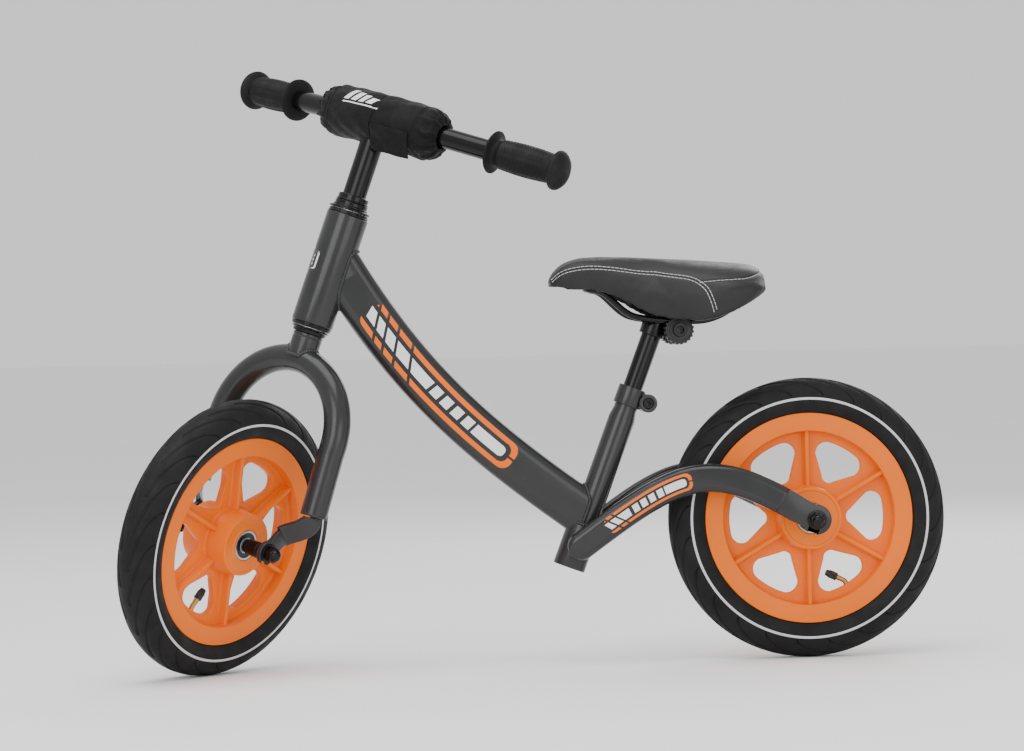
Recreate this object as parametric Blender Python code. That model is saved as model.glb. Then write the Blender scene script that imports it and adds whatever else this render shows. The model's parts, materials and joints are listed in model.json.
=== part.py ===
"""A child's balance bike: steel frame and fork, moulded wheels with pneumatic tyres, quill stem, saddle.

+X points forward, +Y to the rider's left, +Z up, all in metres. The origin is on the ground, under the
middle of the bike's outer box. The fork is turned to the left by STEER_AT_REST.
"""

import math

import bmesh
import bpy
from mathutils import Matrix, Vector

# ---------------------------------------------------------------- driving sizes (metres, degrees)
TOUCH_GAP = 0.0003          # gap left between pieces that touch
RUN_GAP = 0.0004            # gap between pieces that turn or slide on each other

REAR_AXLE_X = -0.2944       # rear axle from the middle of the bike's box
CENTRE_PLANE_Y = 0.0283     # the frame's middle plane, from the middle of the box of the turned bike
WHEELBASE = 0.632
WHEEL_RADIUS = 0.150

HEAD_LEAN = 19.6            # steering axis, back from the vertical
FORK_OFFSET = 0.025         # front axle ahead of the steering axis
STEER_AT_REST = 47.4

TYRE_WIDTH = 0.0460
TYRE_CASING = 0.0045
INNER_TUBE_WALL = 0.0012
INNER_TUBE_SEAM = 0.0030
TYRE_SEATING = 0.0086       # how deep the tyre sits between the rim's flanges
TYRE_HEIGHT = TYRE_WIDTH - TYRE_SEATING
RIM_WIDTH = 0.0360
RIM_LIP = 0.0040            # thickness of a flange
RIM_LIP_HEIGHT = 0.0111
RIM_RING_DEPTH = 0.0095     # thickness of the ring under the beads
WINDOW_MARGIN = 0.0080      # web left between the windows and the ring
RIM_RADIUS = WHEEL_RADIUS - TYRE_HEIGHT
BEAD_SEAT_RADIUS = RIM_RADIUS - RIM_LIP_HEIGHT
RIM_RING_INNER = BEAD_SEAT_RADIUS - RIM_RING_DEPTH
WINDOW_OUTER = RIM_RING_INNER - WINDOW_MARGIN
WINDOW_CORNER = 0.0120
WEB_THICKNESS = 0.0080
SPOKES = 6
SPOKE_WIDTH = 0.0220
RIB_THICKNESS = 0.0050
RIB_DEPTH = 0.0280
HUB_RADIUS = 0.0350
HUB_WIDTH = 0.0610
BEARING_OD = 0.0320
BEARING_BORE = 0.0120
BEARING_WIDTH = 0.0100
BEARING_SHOULDER = 0.0025   # step in the hub behind each bearing
WHEEL_STEPS = 28
FRONT_WHEEL_TURN = -41.7    # how far the wheel has rolled round its axle
REAR_WHEEL_TURN = 0.0

VALVE_POSITION = 210.0      # round the wheel, from its first spoke
VALVE_STEM_RADIUS = 0.0030
VALVE_HOLE_GAP = 0.0008
VALVE_FREE_LENGTH = 0.0190
VALVE_BEND_DEPTH = 0.0040   # the bend is this far inside the window
VALVE_CAP_RADIUS = 0.0044
VALVE_CAP_LENGTH = 0.0130
VALVE_CAP_END = 0.0030
REAR_VALVE_LEAN = 35.0
FRONT_VALVE_LEAN = -12.0

AXLE_RADIUS = 0.0048
CONE_RADIUS = 0.0085        # the spacers between bearing and dropout
DROPOUT_INNER = 0.0570      # half the distance between the dropouts
DROPOUT_THICKNESS = 0.0050
WASHER_RADIUS = 0.0105
WASHER_THICKNESS = 0.0018
NUT_ACROSS_FLATS = 0.0150
NUT_HEIGHT = 0.0080
DOME_HEIGHT = 0.0060
CHAMFER = 0.0008
AXLE_OVERRUN = 0.0080       # how far the axle reaches past the dropout, inside its nut

STEERER_OD = 0.0286
STEERER_WALL = 0.0014
STEERER_TOP = 0.0222        # above the head tube
FORK_TUBE_RADIUS = 0.0143
STEERER_COLLAR_RADIUS = max(STEERER_OD / 2, FORK_TUBE_RADIUS) + 0.0017  # wraps the arch tube
STEERER_COLLAR_DEPTH = 0.0220       # how far the collar reaches down over the arch
HEAD_TUBE_OD = STEERER_OD + 0.0162
HEAD_TUBE_WALL = 0.0044
HEAD_TUBE_LENGTH = 0.1210
CUP_FLANGE_RADIUS = HEAD_TUBE_OD / 2 - 0.0012
CUP_FLANGE_HEIGHT = 0.0042
CUP_FLOOR = 0.0012
CUP_WALL = 0.0022
CUP_INSERT_DEPTH = 0.0100
CROWN_RACE_HEIGHT = 0.0070
RACE_RADIUS = STEERER_OD / 2 + 0.0033
RACE_HEIGHT = 0.0095
RACE_SKIRT_RADIUS = CUP_FLANGE_RADIUS + 0.0008
LOCK_NUT_RADIUS = STEERER_OD / 2 + 0.0021
LOCK_NUT_HEIGHT = 0.0068

TYRE_TO_ARCH = 0.0392       # room between the tyre and the arch over it
FORK_TUBE_WALL = 0.0020
FORK_ARCH_RADIUS = 0.0800   # middle line of the arch
FORK_ARCH_CENTRE = WHEEL_RADIUS + TYRE_TO_ARCH + FORK_TUBE_RADIUS - FORK_ARCH_RADIUS
FORK_ARCH_TOP = FORK_ARCH_CENTRE + FORK_ARCH_RADIUS + FORK_TUBE_RADIUS
FORK_BLADE_END = 0.0520
FORK_BLADE_SPLAY = 3.5
FORK_ARM_ANGLE = 128.0      # the dropout's arm, up from straight ahead
FORK_ARM_LENGTH = 0.0300
FORK_ARM_WIDTH = 0.0200
FORK_DROPOUT_RADIUS = 0.0130
HEAD_TUBE_BOTTOM = FORK_ARCH_TOP + 0.0252       # above the foot of the steering axis
HEAD_TUBE_TOP = HEAD_TUBE_BOTTOM + HEAD_TUBE_LENGTH

SEAT_POST_RADIUS = 0.0105
SEAT_POST_WALL = 0.0016
SEAT_POST_BOTTOM = 0.1700   # inserted length below the collar's top
SEAT_LEAN = 21.0
SEAT_FOOT_X = WHEEL_RADIUS + 0.1085     # lower end of the seat tube, from the rear axle
SEAT_FOOT_Z = 0.1032
SEAT_NECK_RADIUS = SEAT_POST_RADIUS + RUN_GAP + 0.0015
SEAT_TUBE_RADIUS = SEAT_NECK_RADIUS + 0.0019
SEAT_TUBE_WALL = 0.0018
SEAT_TUBE_LENGTH = 0.2040
SEAT_FOOT_RADIUS = SEAT_TUBE_RADIUS + 0.0032
SEAT_FOOT_WALL = 0.0030
SEAT_FOOT_LENGTH = 0.0470
SEAT_FOOT_SHOULDER = 0.0020
SEAT_SWAGE_START = SEAT_TUBE_LENGTH - 0.0350
SEAT_SWAGE_END = SEAT_TUBE_LENGTH - 0.0250
SEAT_COLLAR_HEIGHT = 0.0205
SEAT_COLLAR_RADIUS = SEAT_NECK_RADIUS + TOUCH_GAP + 0.0021
LUG_RADIUS = 0.0098
LUG_SET_BACK = SEAT_COLLAR_RADIUS + 0.0052      # lug axis behind the seat tube's axis
LUG_WIDTH = 0.0260
LUG_BOLT_RADIUS = 0.0031
LUG_HEAD_RADIUS = 0.0055
LUG_HEAD_DEPTH = 0.0045
CLAMP_SLOT = 0.0040

MAIN_TUBE_DEPTH = 0.0500
MAIN_TUBE_WIDTH = 0.0330
MAIN_TUBE_SEAT_WIDTH = 2 * SEAT_TUBE_RADIUS - 0.0015
MAIN_TUBE_WALL = 0.0022
MAIN_TUBE_HEAD = HEAD_TUBE_BOTTOM + 0.0740      # along the steering axis, from its foot
MAIN_TUBE_HEAD_SLOPE = 60.0
MAIN_TUBE_SEAT = 0.0590     # along the seat tube, from its foot
MAIN_TUBE_SEAT_SLOPE = 36.0
MAIN_TUBE_SWEEP = 0.1500    # length of the curve's handles

STAY_DEPTH = 0.0300
STAY_WIDTH = 0.0180
STAY_FRONT_Y = SEAT_FOOT_RADIUS + 0.0045
STAY_REAR_Y = DROPOUT_INNER - 0.0050
STAY_FRONT = (-0.0115, 0.0235)      # the stay's front end, from the seat tube's foot
STAY_REAR = (0.0360, 0.0215)        # its rear end, from the axle
REAR_DROPOUT_RADIUS = 0.0160
REAR_DROPOUT_ARM_WIDTH = 0.0270

STEM_CLEARANCE = 0.0002
STEM_RADIUS = STEERER_OD / 2 - STEERER_WALL - STEM_CLEARANCE
STEM_WALL = 0.0019
STEM_INSERTED = 0.0900      # below the steerer's top
WEDGE_LENGTH = 0.0340
WEDGE_SLANT = 30.0
EXPANDER_BOLT_RADIUS = 0.0038
BAR_HEIGHT = HEAD_TUBE_TOP + 0.1080     # handlebar above the foot of the steering axis
BAR_RADIUS = 0.0111
BAR_WALL = 0.0016
BAR_HALF_LENGTH = 0.2200
BAR_SWEEP = 11.1
BAR_BEND_RADIUS = 0.0500
GRIP_LENGTH = 0.0865
GRIP_END = BAR_HALF_LENGTH + 0.0055
GRIP_START = GRIP_END - GRIP_LENGTH
GRIP_NECK_RADIUS = BAR_RADIUS + 0.0029
GRIP_RADIUS = BAR_RADIUS + 0.0049
GRIP_FLANGE_RADIUS = BAR_RADIUS + 0.0117
GRIP_CAP_RADIUS = BAR_RADIUS + 0.0101
PAD_LENGTH = 0.1640
PAD_RADIUS = 0.0300
PAD_END_RADIUS = BAR_RADIUS + 0.0079
PAD_CLEARANCE = 0.0012

SADDLE_WIDTH = 0.1440
SADDLE_NOSE_WIDTH = 0.0500
SADDLE_SHELL_THICKNESS = 0.0040
SADDLE_RECESS = 0.72        # half width of the hollow under the padding over its half width
RAIL_RADIUS = 0.0034
RAIL_SPACING = 0.0440
TILT_SET_BACK = SEAT_POST_RADIUS + 0.0123       # clamp bolt behind the seat post's axis
TILT_HEIGHT = 0.0740        # clamp bolt above the collar's top, along the seat post
SEAT_POST_TOP = TILT_HEIGHT + 0.0045
CLAMP_BAND_WALL = 0.0030
CLAMP_BAND_BELOW = 0.0150   # the band reaches this far below the bolt
CLAMP_BAND_ABOVE = 0.0030   # and this far above it
CLAMP_DISC_RADIUS = 0.0160
CLAMP_DISC_OUTER = RAIL_SPACING / 2 + 0.0070    # outer face of a rail clamp, from the middle plane
CLAMP_EAR_HALF_WIDTH = RAIL_SPACING / 2 - 0.0080
CLAMP_EAR_RADIUS = 0.0115
CLAMP_BOLT_RADIUS = 0.0038
CLAMP_HEAD_RADIUS = 0.0078
CLAMP_HEAD_HEIGHT = 0.0052

# ---------------------------------------------------------------- colours
PAINT = (0.045, 0.046, 0.048, 1.0)
BLACK = (0.010, 0.010, 0.011, 1.0)
RUBBER = (0.018, 0.018, 0.019, 1.0)
ORANGE = (0.90, 0.16, 0.004, 1.0)
STEEL = (0.55, 0.55, 0.56, 1.0)
BRASS = (0.50, 0.33, 0.10, 1.0)
LEATHER = (0.035, 0.035, 0.037, 1.0)
FABRIC = (0.014, 0.014, 0.015, 1.0)


# ---------------------------------------------------------------- helpers
def clear_scene():
    for thing in list(bpy.data.objects):
        bpy.data.objects.remove(thing, do_unlink=True)


def material(name, colour, roughness, metallic=0.0):
    made = bpy.data.materials.new(name)
    made.use_nodes = True
    shader = made.node_tree.nodes["Principled BSDF"]
    shader.inputs["Base Color"].default_value = colour
    shader.inputs["Roughness"].default_value = roughness
    shader.inputs["Metallic"].default_value = metallic
    made.diffuse_color = colour
    return made


def pivot(name, parent=None, location=(0, 0, 0), turns=()):
    """An empty. turns is a list of (axis letter, degrees), applied from left to right."""
    empty = bpy.data.objects.new(name, None)
    bpy.context.collection.objects.link(empty)
    matrix = Matrix.Translation(location)
    for axis, degrees in turns:
        matrix = matrix @ Matrix.Rotation(math.radians(degrees), 4, axis)
    empty.matrix_basis = matrix
    empty.parent = parent
    return empty


def place(mesh_data, name, parent, look, location=(0, 0, 0), turns=(), sharp=35.0):
    colour, roughness, metallic = look
    thing = bpy.data.objects.new(name, mesh_data)
    bpy.context.collection.objects.link(thing)
    matrix = Matrix.Translation(location)
    for axis, degrees in turns:
        matrix = matrix @ Matrix.Rotation(math.radians(degrees), 4, axis)
    thing.matrix_basis = matrix
    thing.parent = parent
    mesh_data.materials.append(material(name + "_look", colour, roughness, metallic))
    mesh_data.shade_smooth()
    mesh_data.set_sharp_from_angle(angle=math.radians(sharp))
    return thing


def finish_mesh(bm, name):
    bmesh.ops.remove_doubles(bm, verts=bm.verts, dist=1e-7)
    bmesh.ops.recalc_face_normals(bm, faces=bm.faces)
    made = bpy.data.meshes.new(name)
    bm.to_mesh(made)
    bm.free()
    return made


def lathe(name, outline, steps):
    """Turn a closed outline of (radius, height) points about Z."""
    bm = bmesh.new()
    corners = [bm.verts.new((radius, 0, height)) for radius, height in outline]
    edges = [bm.edges.new((a, b)) for a, b in zip(corners, corners[1:] + corners[:1])]
    bmesh.ops.spin(bm, geom=corners + edges, cent=(0, 0, 0), axis=(0, 0, 1),
                   angle=math.tau, steps=steps, use_merge=True)
    loose = [edge for edge in bm.edges if not edge.link_faces]
    bmesh.ops.delete(bm, geom=loose, context="EDGES")
    bmesh.ops.remove_doubles(bm, verts=bm.verts, dist=1e-7)
    bmesh.ops.dissolve_degenerate(bm, edges=bm.edges, dist=1e-7)
    return finish_mesh(bm, name)


def tube_outline(inner, outer, bottom, top):
    return [(outer, top), (outer, bottom), (inner, bottom), (inner, top)]


def skin(bm, rings, closed_ends):
    """Join rings of points, one after another, into one surface."""
    loops = [[bm.verts.new(point) for point in ring] for ring in rings]
    count = len(loops[0])
    pairs = list(zip(loops, loops[1:]))
    if not closed_ends:
        pairs.append((loops[-1], loops[0]))
    for first, second in pairs:
        for i in range(count):
            j = (i + 1) % count
            bm.faces.new((first[i], first[j], second[j], second[i]))
    if closed_ends:
        bm.faces.new(loops[0])
        bm.faces.new(list(reversed(loops[-1])))


def frames_along(points, side):
    """Position, side and up vectors at each point of a path. side is the section's first direction."""
    frames = []
    for i, point in enumerate(points):
        before = points[max(i - 1, 0)]
        after = points[min(i + 1, len(points) - 1)]
        along = (after - before).normalized()
        up = along.cross(side).normalized()
        across = up.cross(along).normalized()
        frames.append((point, across, up))
    return frames


def sweep(name, points, section, side, inner=None, taper=1.0):
    """Carry a section of (across, up) points along a path; an inner section makes it hollow.

    taper is the section's width at the path's end over its width at the start.
    """
    frames = frames_along([Vector(point) for point in points], Vector(side))
    last = len(frames) - 1

    def ring(i, outline):
        point, across, up = frames[i]
        width = 1 + (taper - 1) * i / last
        return [point + across * a * width + up * b for a, b in outline]

    bm = bmesh.new()
    rings = [ring(i, section) for i in range(last + 1)]
    if inner:
        rings += [ring(i, inner) for i in range(last, -1, -1)]
    skin(bm, rings, closed_ends=inner is None)
    return finish_mesh(bm, name)


def circle(radius, steps):
    return [(radius * math.cos(math.tau * i / steps), radius * math.sin(math.tau * i / steps))
            for i in range(steps)]


def rounded_box(width, depth, corner, steps):
    """Points round a rectangle with rounded corners."""
    points = []
    centres = ((1, 1), (-1, 1), (-1, -1), (1, -1))
    for quarter, (sx, sy) in enumerate(centres):
        cx = sx * (width / 2 - corner)
        cy = sy * (depth / 2 - corner)
        for i in range(steps + 1):
            angle = math.pi / 2 * (quarter + i / steps)
            points.append((cx + corner * math.cos(angle), cy + corner * math.sin(angle)))
    return points


def arc(centre, radius, start, end, steps):
    """Points on an arc in a plane, angles in degrees."""
    points = []
    for i in range(steps + 1):
        angle = math.radians(start + (end - start) * i / steps)
        points.append((centre[0] + radius * math.cos(angle), centre[1] + radius * math.sin(angle)))
    return points


def prism(name, outline, bottom, top):
    """Extrude an outline of (x, y) points along Z."""
    bm = bmesh.new()
    rings = [[(x, y, height) for x, y in outline] for height in (bottom, top)]
    skin(bm, rings, closed_ends=True)
    return finish_mesh(bm, name)


def join_meshes(name, parts):
    """Put several meshes, each with its own matrix, into one."""
    bm = bmesh.new()
    for mesh_data, matrix in parts:
        copy = mesh_data.copy()
        copy.transform(matrix)
        bm.from_mesh(copy)
        bpy.data.meshes.remove(copy)
    made = bpy.data.meshes.new(name)
    bm.to_mesh(made)
    bm.free()
    return made


def boolean(target, tool_mesh, operation, parent=None, location=(0, 0, 0), turns=()):
    """Cut or join target with a guide object that stays out of the model."""
    guide = bpy.data.objects.new(target.name + "_guide", tool_mesh)
    bpy.context.collection.objects.link(guide)
    matrix = Matrix.Translation(location)
    for axis, degrees in turns:
        matrix = matrix @ Matrix.Rotation(math.radians(degrees), 4, axis)
    guide.matrix_basis = matrix
    guide.parent = parent
    guide.hide_render = True
    guide.display_type = "WIRE"
    modifier = target.modifiers.new(operation.lower(), "BOOLEAN")
    modifier.operation = operation
    modifier.solver = "EXACT"
    modifier.object = guide
    return guide


def turned(axis, degrees):
    return Matrix.Rotation(math.radians(degrees), 4, axis)


# ---------------------------------------------------------------- looks: colour, roughness, metallic
PAINTED = (PAINT, 0.28, 0.0)
BLACK_METAL = (BLACK, 0.30, 0.6)
BARE_STEEL = (STEEL, 0.30, 1.0)
MOULDED = (ORANGE, 0.35, 0.0)
TYRE_RUBBER = (RUBBER, 0.75, 0.0)
GRIP_RUBBER = (RUBBER, 0.65, 0.0)
BLACK_PLASTIC = (BLACK, 0.45, 0.0)
PAD_CLOTH = (FABRIC, 0.85, 0.0)
SADDLE_SKIN = (LEATHER, 0.50, 0.0)
VALVE_BRASS = (BRASS, 0.35, 1.0)

ALONG_Y = (("X", -90),)     # turns a piece made about Z so that it lies about Y


# ---------------------------------------------------------------- wheels
def rim_outline():
    """Section of the moulded wheel before its windows are cut: hub, web, thick ring and flanges."""
    lip_inner = RIM_WIDTH / 2 - RIM_LIP
    half = [
        (BEARING_OD / 2 + TOUCH_GAP, HUB_WIDTH / 2),
        (HUB_RADIUS - 0.002, HUB_WIDTH / 2),
        (HUB_RADIUS + 0.001, WEB_THICKNESS / 2),
        (RIM_RING_INNER + 0.002, WEB_THICKNESS / 2),
        (RIM_RING_INNER, RIM_WIDTH / 2),
        (RIM_RADIUS, RIM_WIDTH / 2),
        (RIM_RADIUS, lip_inner),
        (BEAD_SEAT_RADIUS, lip_inner),
    ]
    pocket = HUB_WIDTH / 2 - BEARING_WIDTH - TOUCH_GAP
    bore = BEARING_OD / 2 - BEARING_SHOULDER
    upper = half
    lower = [(radius, -height) for radius, height in reversed(half)]
    inside = [
        (BEARING_OD / 2 + TOUCH_GAP, -pocket),
        (bore, -pocket),
        (bore, pocket),
        (BEARING_OD / 2 + TOUCH_GAP, pocket),
    ]
    return upper + lower + inside


def window_outline():
    """One window between two spokes, as a rounded three-cornered outline pointing at the hub."""
    half_angle = math.radians(180 / SPOKES)
    edge = SPOKE_WIDTH / 2
    corner = WINDOW_CORNER
    inner_corner = WINDOW_CORNER * 0.7
    ring = WINDOW_OUTER - corner
    offset = (edge + corner) / ring
    swing = half_angle - math.asin(offset)
    inner_ring = (edge + inner_corner) / math.sin(half_angle)
    inner_centre = max(inner_ring, HUB_RADIUS + WINDOW_MARGIN + inner_corner)
    side = math.degrees(half_angle)
    upper = (ring * math.cos(swing), ring * math.sin(swing))
    lower = (upper[0], -upper[1])
    points = arc((inner_centre, 0), inner_corner, 90 + side, 270 - side, 3)
    points += arc(lower, corner, -90 - side, -math.degrees(swing), 3)
    middle = arc((0, 0), WINDOW_OUTER, -math.degrees(swing), math.degrees(swing), 3)
    points += middle[1:-1]
    points += arc(upper, corner, math.degrees(swing), 90 + side, 3)
    return points


def wheel_rim(name, parent):
    rim = place(lathe(name, rim_outline(), WHEEL_STEPS), name, parent, MOULDED, turns=ALONG_Y)
    window = prism("window", window_outline(), -WEB_THICKNESS, WEB_THICKNESS)
    slices = []
    for i in range(SPOKES):
        slices.append((window, turned("Z", 90 + 360 / SPOKES * (i + 0.5))))
    windows = join_meshes("windows", slices)
    boolean(rim, windows, "DIFFERENCE", parent, turns=ALONG_Y)
    rib_start = HUB_RADIUS - 0.006
    rib_end = RIM_RING_INNER + 0.004
    outline = rounded_box(rib_end - rib_start, RIB_THICKNESS, RIB_THICKNESS * 0.3, 1)
    rib = prism("rib", outline, -RIB_DEPTH / 2, RIB_DEPTH / 2)
    shift = Matrix.Translation(((rib_start + rib_end) / 2, 0, 0))
    ribs = [(rib, turned("Z", 90 + 360 / SPOKES * i) @ shift) for i in range(SPOKES)]
    boolean(rim, join_meshes("ribs", ribs), "UNION", parent, turns=ALONG_Y)
    hole = lathe("valve_hole", tube_outline(0, VALVE_STEM_RADIUS + VALVE_HOLE_GAP,
                                            WINDOW_OUTER - WINDOW_MARGIN, RIM_RADIUS + RIM_LIP), 12)
    boolean(rim, hole, "DIFFERENCE", parent, turns=(("Y", VALVE_POSITION),))
    return rim


def bead_inner_half_width():
    return RIM_WIDTH / 2 - RIM_LIP - TOUCH_GAP - TYRE_CASING


def casing_reach():
    """How far round below the widest line the casing's inside runs, in degrees."""
    return math.degrees(math.acos(bead_inner_half_width() / (TYRE_WIDTH / 2 - TYRE_CASING)))


def wheel_tyre(name, parent):
    tube = TYRE_WIDTH / 2
    middle = WHEEL_RADIUS - tube
    lip_clear = RIM_RADIUS + TOUCH_GAP * 2
    channel = RIM_WIDTH / 2 - RIM_LIP - TOUCH_GAP
    base = BEAD_SEAT_RADIUS + TOUCH_GAP
    drop = math.degrees(math.asin((middle - lip_clear) / tube))
    outer = [(middle + y, x) for x, y in arc((0, 0), tube, -drop, 180 + drop, 8)]
    bead_inner = bead_inner_half_width()
    reach = casing_reach()
    inner = arc((0, 0), tube - TYRE_CASING, 180 + reach, -reach, 5)
    inner = [(middle + y, x) for x, y in inner]
    left_bead = [(lip_clear, -channel), (base, -channel), (base, -bead_inner)]
    right_bead = [(base, bead_inner), (base, channel), (lip_clear, channel)]
    outline = outer + left_bead + inner + right_bead
    return place(lathe(name, outline, WHEEL_STEPS), name, parent, TYRE_RUBBER, turns=ALONG_Y)


def inner_tube_radius():
    return TYRE_WIDTH / 2 - TYRE_CASING - 4 * TOUCH_GAP


def wheel_inner_tube(name, parent):
    """Thin tube that fills the casing, left open along a seam that faces the rim."""
    outer = inner_tube_radius()
    inner = outer - INNER_TUBE_WALL
    seam = INNER_TUBE_SEAM / 2
    reach = casing_reach()
    low = math.sin(math.radians(reach))
    section = [(seam, -outer * low)] + arc((0, 0), outer, -reach, 180 + reach, 5)
    section += [(-seam, -outer * low), (-seam, -inner * low)]
    section += arc((0, 0), inner, 180 + reach, -reach, 5) + [(seam, -inner * low)]
    middle = WHEEL_RADIUS - TYRE_WIDTH / 2
    outline = [(middle + y, x) for x, y in section]
    return place(lathe(name, outline, WHEEL_STEPS), name, parent, TYRE_RUBBER, turns=ALONG_Y)


def valve_route(lean):
    """The stem's middle line in the wheel's plane: out of the tube, through the rim, then leaning."""
    underside = WHEEL_RADIUS - TYRE_WIDTH / 2 - inner_tube_radius() * math.sin(math.radians(casing_reach()))
    start = underside * math.cos(math.pi / WHEEL_STEPS) - TOUCH_GAP
    bend = Vector((0, 0, WINDOW_OUTER - VALVE_BEND_DEPTH))
    points = [Vector((0, 0, start)), bend + Vector((0, 0, VALVE_STEM_RADIUS))]
    direction = Vector((math.sin(math.radians(-lean)), 0, -math.cos(math.radians(lean))))
    points.append(bend + direction * VALVE_STEM_RADIUS)
    points.append(bend + direction * VALVE_FREE_LENGTH)
    return points, direction


def wheel_valve(wheel_name, parent, lean):
    points, direction = valve_route(lean)
    turn = (("Y", VALVE_POSITION),)
    stem = sweep("stem", points, circle(VALVE_STEM_RADIUS, 10), (0, 1, 0))
    place(stem, wheel_name + "_valve_stem", parent, VALVE_BRASS, turns=turn)
    socket = VALVE_STEM_RADIUS + TOUCH_GAP
    depth = VALVE_CAP_LENGTH - VALVE_CAP_END
    outline = [(0, VALVE_CAP_LENGTH), (VALVE_CAP_RADIUS * 0.7, VALVE_CAP_LENGTH),
               (VALVE_CAP_RADIUS, VALVE_CAP_LENGTH - VALVE_CAP_RADIUS * 0.3), (VALVE_CAP_RADIUS, 0),
               (socket, 0), (socket, depth), (0, depth)]
    cap = lathe("cap", outline, 12)
    cap.transform(direction.to_track_quat("Z", "Y").to_matrix().to_4x4())
    cap.transform(Matrix.Translation(points[-1] - direction * (depth - TOUCH_GAP)))
    place(cap, wheel_name + "_valve_cap", parent, BLACK_PLASTIC, turns=turn)


def wheel_bearings(wheel_name, parent):
    outline = [
        (BEARING_OD / 2, 0), (BEARING_OD / 2, -BEARING_WIDTH),
        (BEARING_BORE / 2, -BEARING_WIDTH), (BEARING_BORE / 2, 0),
    ]
    for side, flip in (("left", 0), ("right", 180)):
        name = f"{wheel_name}_bearing_{side}"
        centre = HUB_WIDTH / 2 if side == "left" else -HUB_WIDTH / 2
        place(lathe(name, outline, 16), name, parent, BARE_STEEL,
              location=(0, centre, 0), turns=(("X", -90 + flip),))


def wheel(wheel_name, hub, lean):
    wheel_rim(wheel_name + "_rim", hub)
    wheel_tyre(wheel_name + "_tyre", hub)
    wheel_inner_tube(wheel_name + "_inner_tube", hub)
    wheel_valve(wheel_name, hub, lean)
    wheel_bearings(wheel_name, hub)


def axle_set(prefix, hub):
    """Axle, cones and nuts, fixed to the frame or the fork and not to the wheel."""
    shoulder = HUB_WIDTH / 2 + TOUCH_GAP
    in_bearing = BEARING_BORE / 2 - RUN_GAP
    end = DROPOUT_INNER + DROPOUT_THICKNESS + AXLE_OVERRUN
    outline = [
        (0, end), (AXLE_RADIUS - CHAMFER, end), (AXLE_RADIUS, end - CHAMFER), (AXLE_RADIUS, shoulder),
        (in_bearing, shoulder), (in_bearing, -shoulder),
        (AXLE_RADIUS, -shoulder), (AXLE_RADIUS, -end + CHAMFER), (AXLE_RADIUS - CHAMFER, -end), (0, -end),
    ]
    place(lathe("axle", outline, 12), prefix + "_axle", hub, BARE_STEEL, turns=ALONG_Y)
    bore = AXLE_RADIUS + TOUCH_GAP
    start = shoulder + RUN_GAP
    stop = DROPOUT_INNER - TOUCH_GAP
    small = BEARING_BORE / 2 + 0.0015
    cone = [(CONE_RADIUS, stop), (CONE_RADIUS, start + 0.004), (small, start + 0.0015), (small, start),
            (bore, start), (bore, stop)]
    base = DROPOUT_INNER + DROPOUT_THICKNESS + TOUCH_GAP
    for side, flip in (("left", -90), ("right", 90)):
        place(lathe("cone", cone, 12), f"{prefix}_axle_cone_{side}", hub, BLACK_METAL, turns=(("X", flip),))
        place(nut_mesh(bore), f"{prefix}_axle_nut_{side}", hub, BLACK_METAL,
              turns=(("X", flip), ("Z", 15))).location = turned("X", flip) @ Vector((0, 0, base))


def nut_mesh(bore):
    """A flanged six-sided nut with a closed dome; its threaded hole stops inside the dome."""
    bm = bmesh.new()
    corner = NUT_ACROSS_FLATS / 2 / math.cos(math.pi / 6)
    steps = 12
    hex_radius = []
    for i in range(steps):
        angle = math.tau * i / steps
        inside = ((angle + math.pi / 6) % (math.pi / 3)) - math.pi / 6
        hex_radius.append(corner * math.cos(math.pi / 6) / math.cos(inside))

    def ring(radii, height):
        return [(radii[i] * math.cos(math.tau * i / steps), radii[i] * math.sin(math.tau * i / steps), height)
                for i in range(steps)]

    body_top = WASHER_THICKNESS + NUT_HEIGHT
    dome_base = NUT_ACROSS_FLATS / 2 - CHAMFER
    dome_rings = 3
    rings = [ring([bore] * steps, AXLE_OVERRUN + CHAMFER), ring([bore] * steps, 0.0)]
    rings += [ring([WASHER_RADIUS] * steps, height) for height in (0.0, WASHER_THICKNESS)]
    rings += [ring(hex_radius, height) for height in (WASHER_THICKNESS + CHAMFER / 8, body_top - CHAMFER)]
    for i in range(dome_rings):
        angle = math.pi / 2 * i / dome_rings
        rings.append(ring([dome_base * math.cos(angle)] * steps, body_top + DOME_HEIGHT * math.sin(angle)))
    skin(bm, rings, closed_ends=True)
    return finish_mesh(bm, "axle_nut")


# ---------------------------------------------------------------- frame
def head_tube(axis):
    inner = HEAD_TUBE_OD / 2 - HEAD_TUBE_WALL
    outline = tube_outline(inner, HEAD_TUBE_OD / 2, HEAD_TUBE_BOTTOM, HEAD_TUBE_TOP)
    place(lathe("head_tube", outline, 24), "head_tube", axis, PAINTED)


def headset_cups(axis):
    """A cup pressed into each end of the head tube, with room for its balls and for the steerer."""
    insert = HEAD_TUBE_OD / 2 - HEAD_TUBE_WALL - TOUCH_GAP
    bore = STEERER_OD / 2 + RUN_GAP
    cavity = CUP_FLANGE_RADIUS - CUP_WALL
    outline = [
        (CUP_FLANGE_RADIUS, TOUCH_GAP + CUP_FLANGE_HEIGHT), (CUP_FLANGE_RADIUS, TOUCH_GAP),
        (insert, TOUCH_GAP), (insert, -CUP_INSERT_DEPTH), (bore, -CUP_INSERT_DEPTH),
        (bore, CUP_FLOOR), (cavity, CUP_FLOOR), (cavity, TOUCH_GAP + CUP_FLANGE_HEIGHT),
    ]
    place(lathe("cup", outline, 18), "headset_cup_upper", axis, BLACK_METAL,
          location=(0, 0, HEAD_TUBE_TOP))
    place(lathe("cup", outline, 18), "headset_cup_lower", axis, BLACK_METAL,
          location=(0, 0, HEAD_TUBE_BOTTOM), turns=(("X", 180),))


def bezier(start, first, second, end, count):
    points = []
    for i in range(count + 1):
        t = i / count
        s = 1 - t
        points.append(start * s ** 3 + first * 3 * s * s * t + second * 3 * s * t * t + end * t ** 3)
    return points


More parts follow.
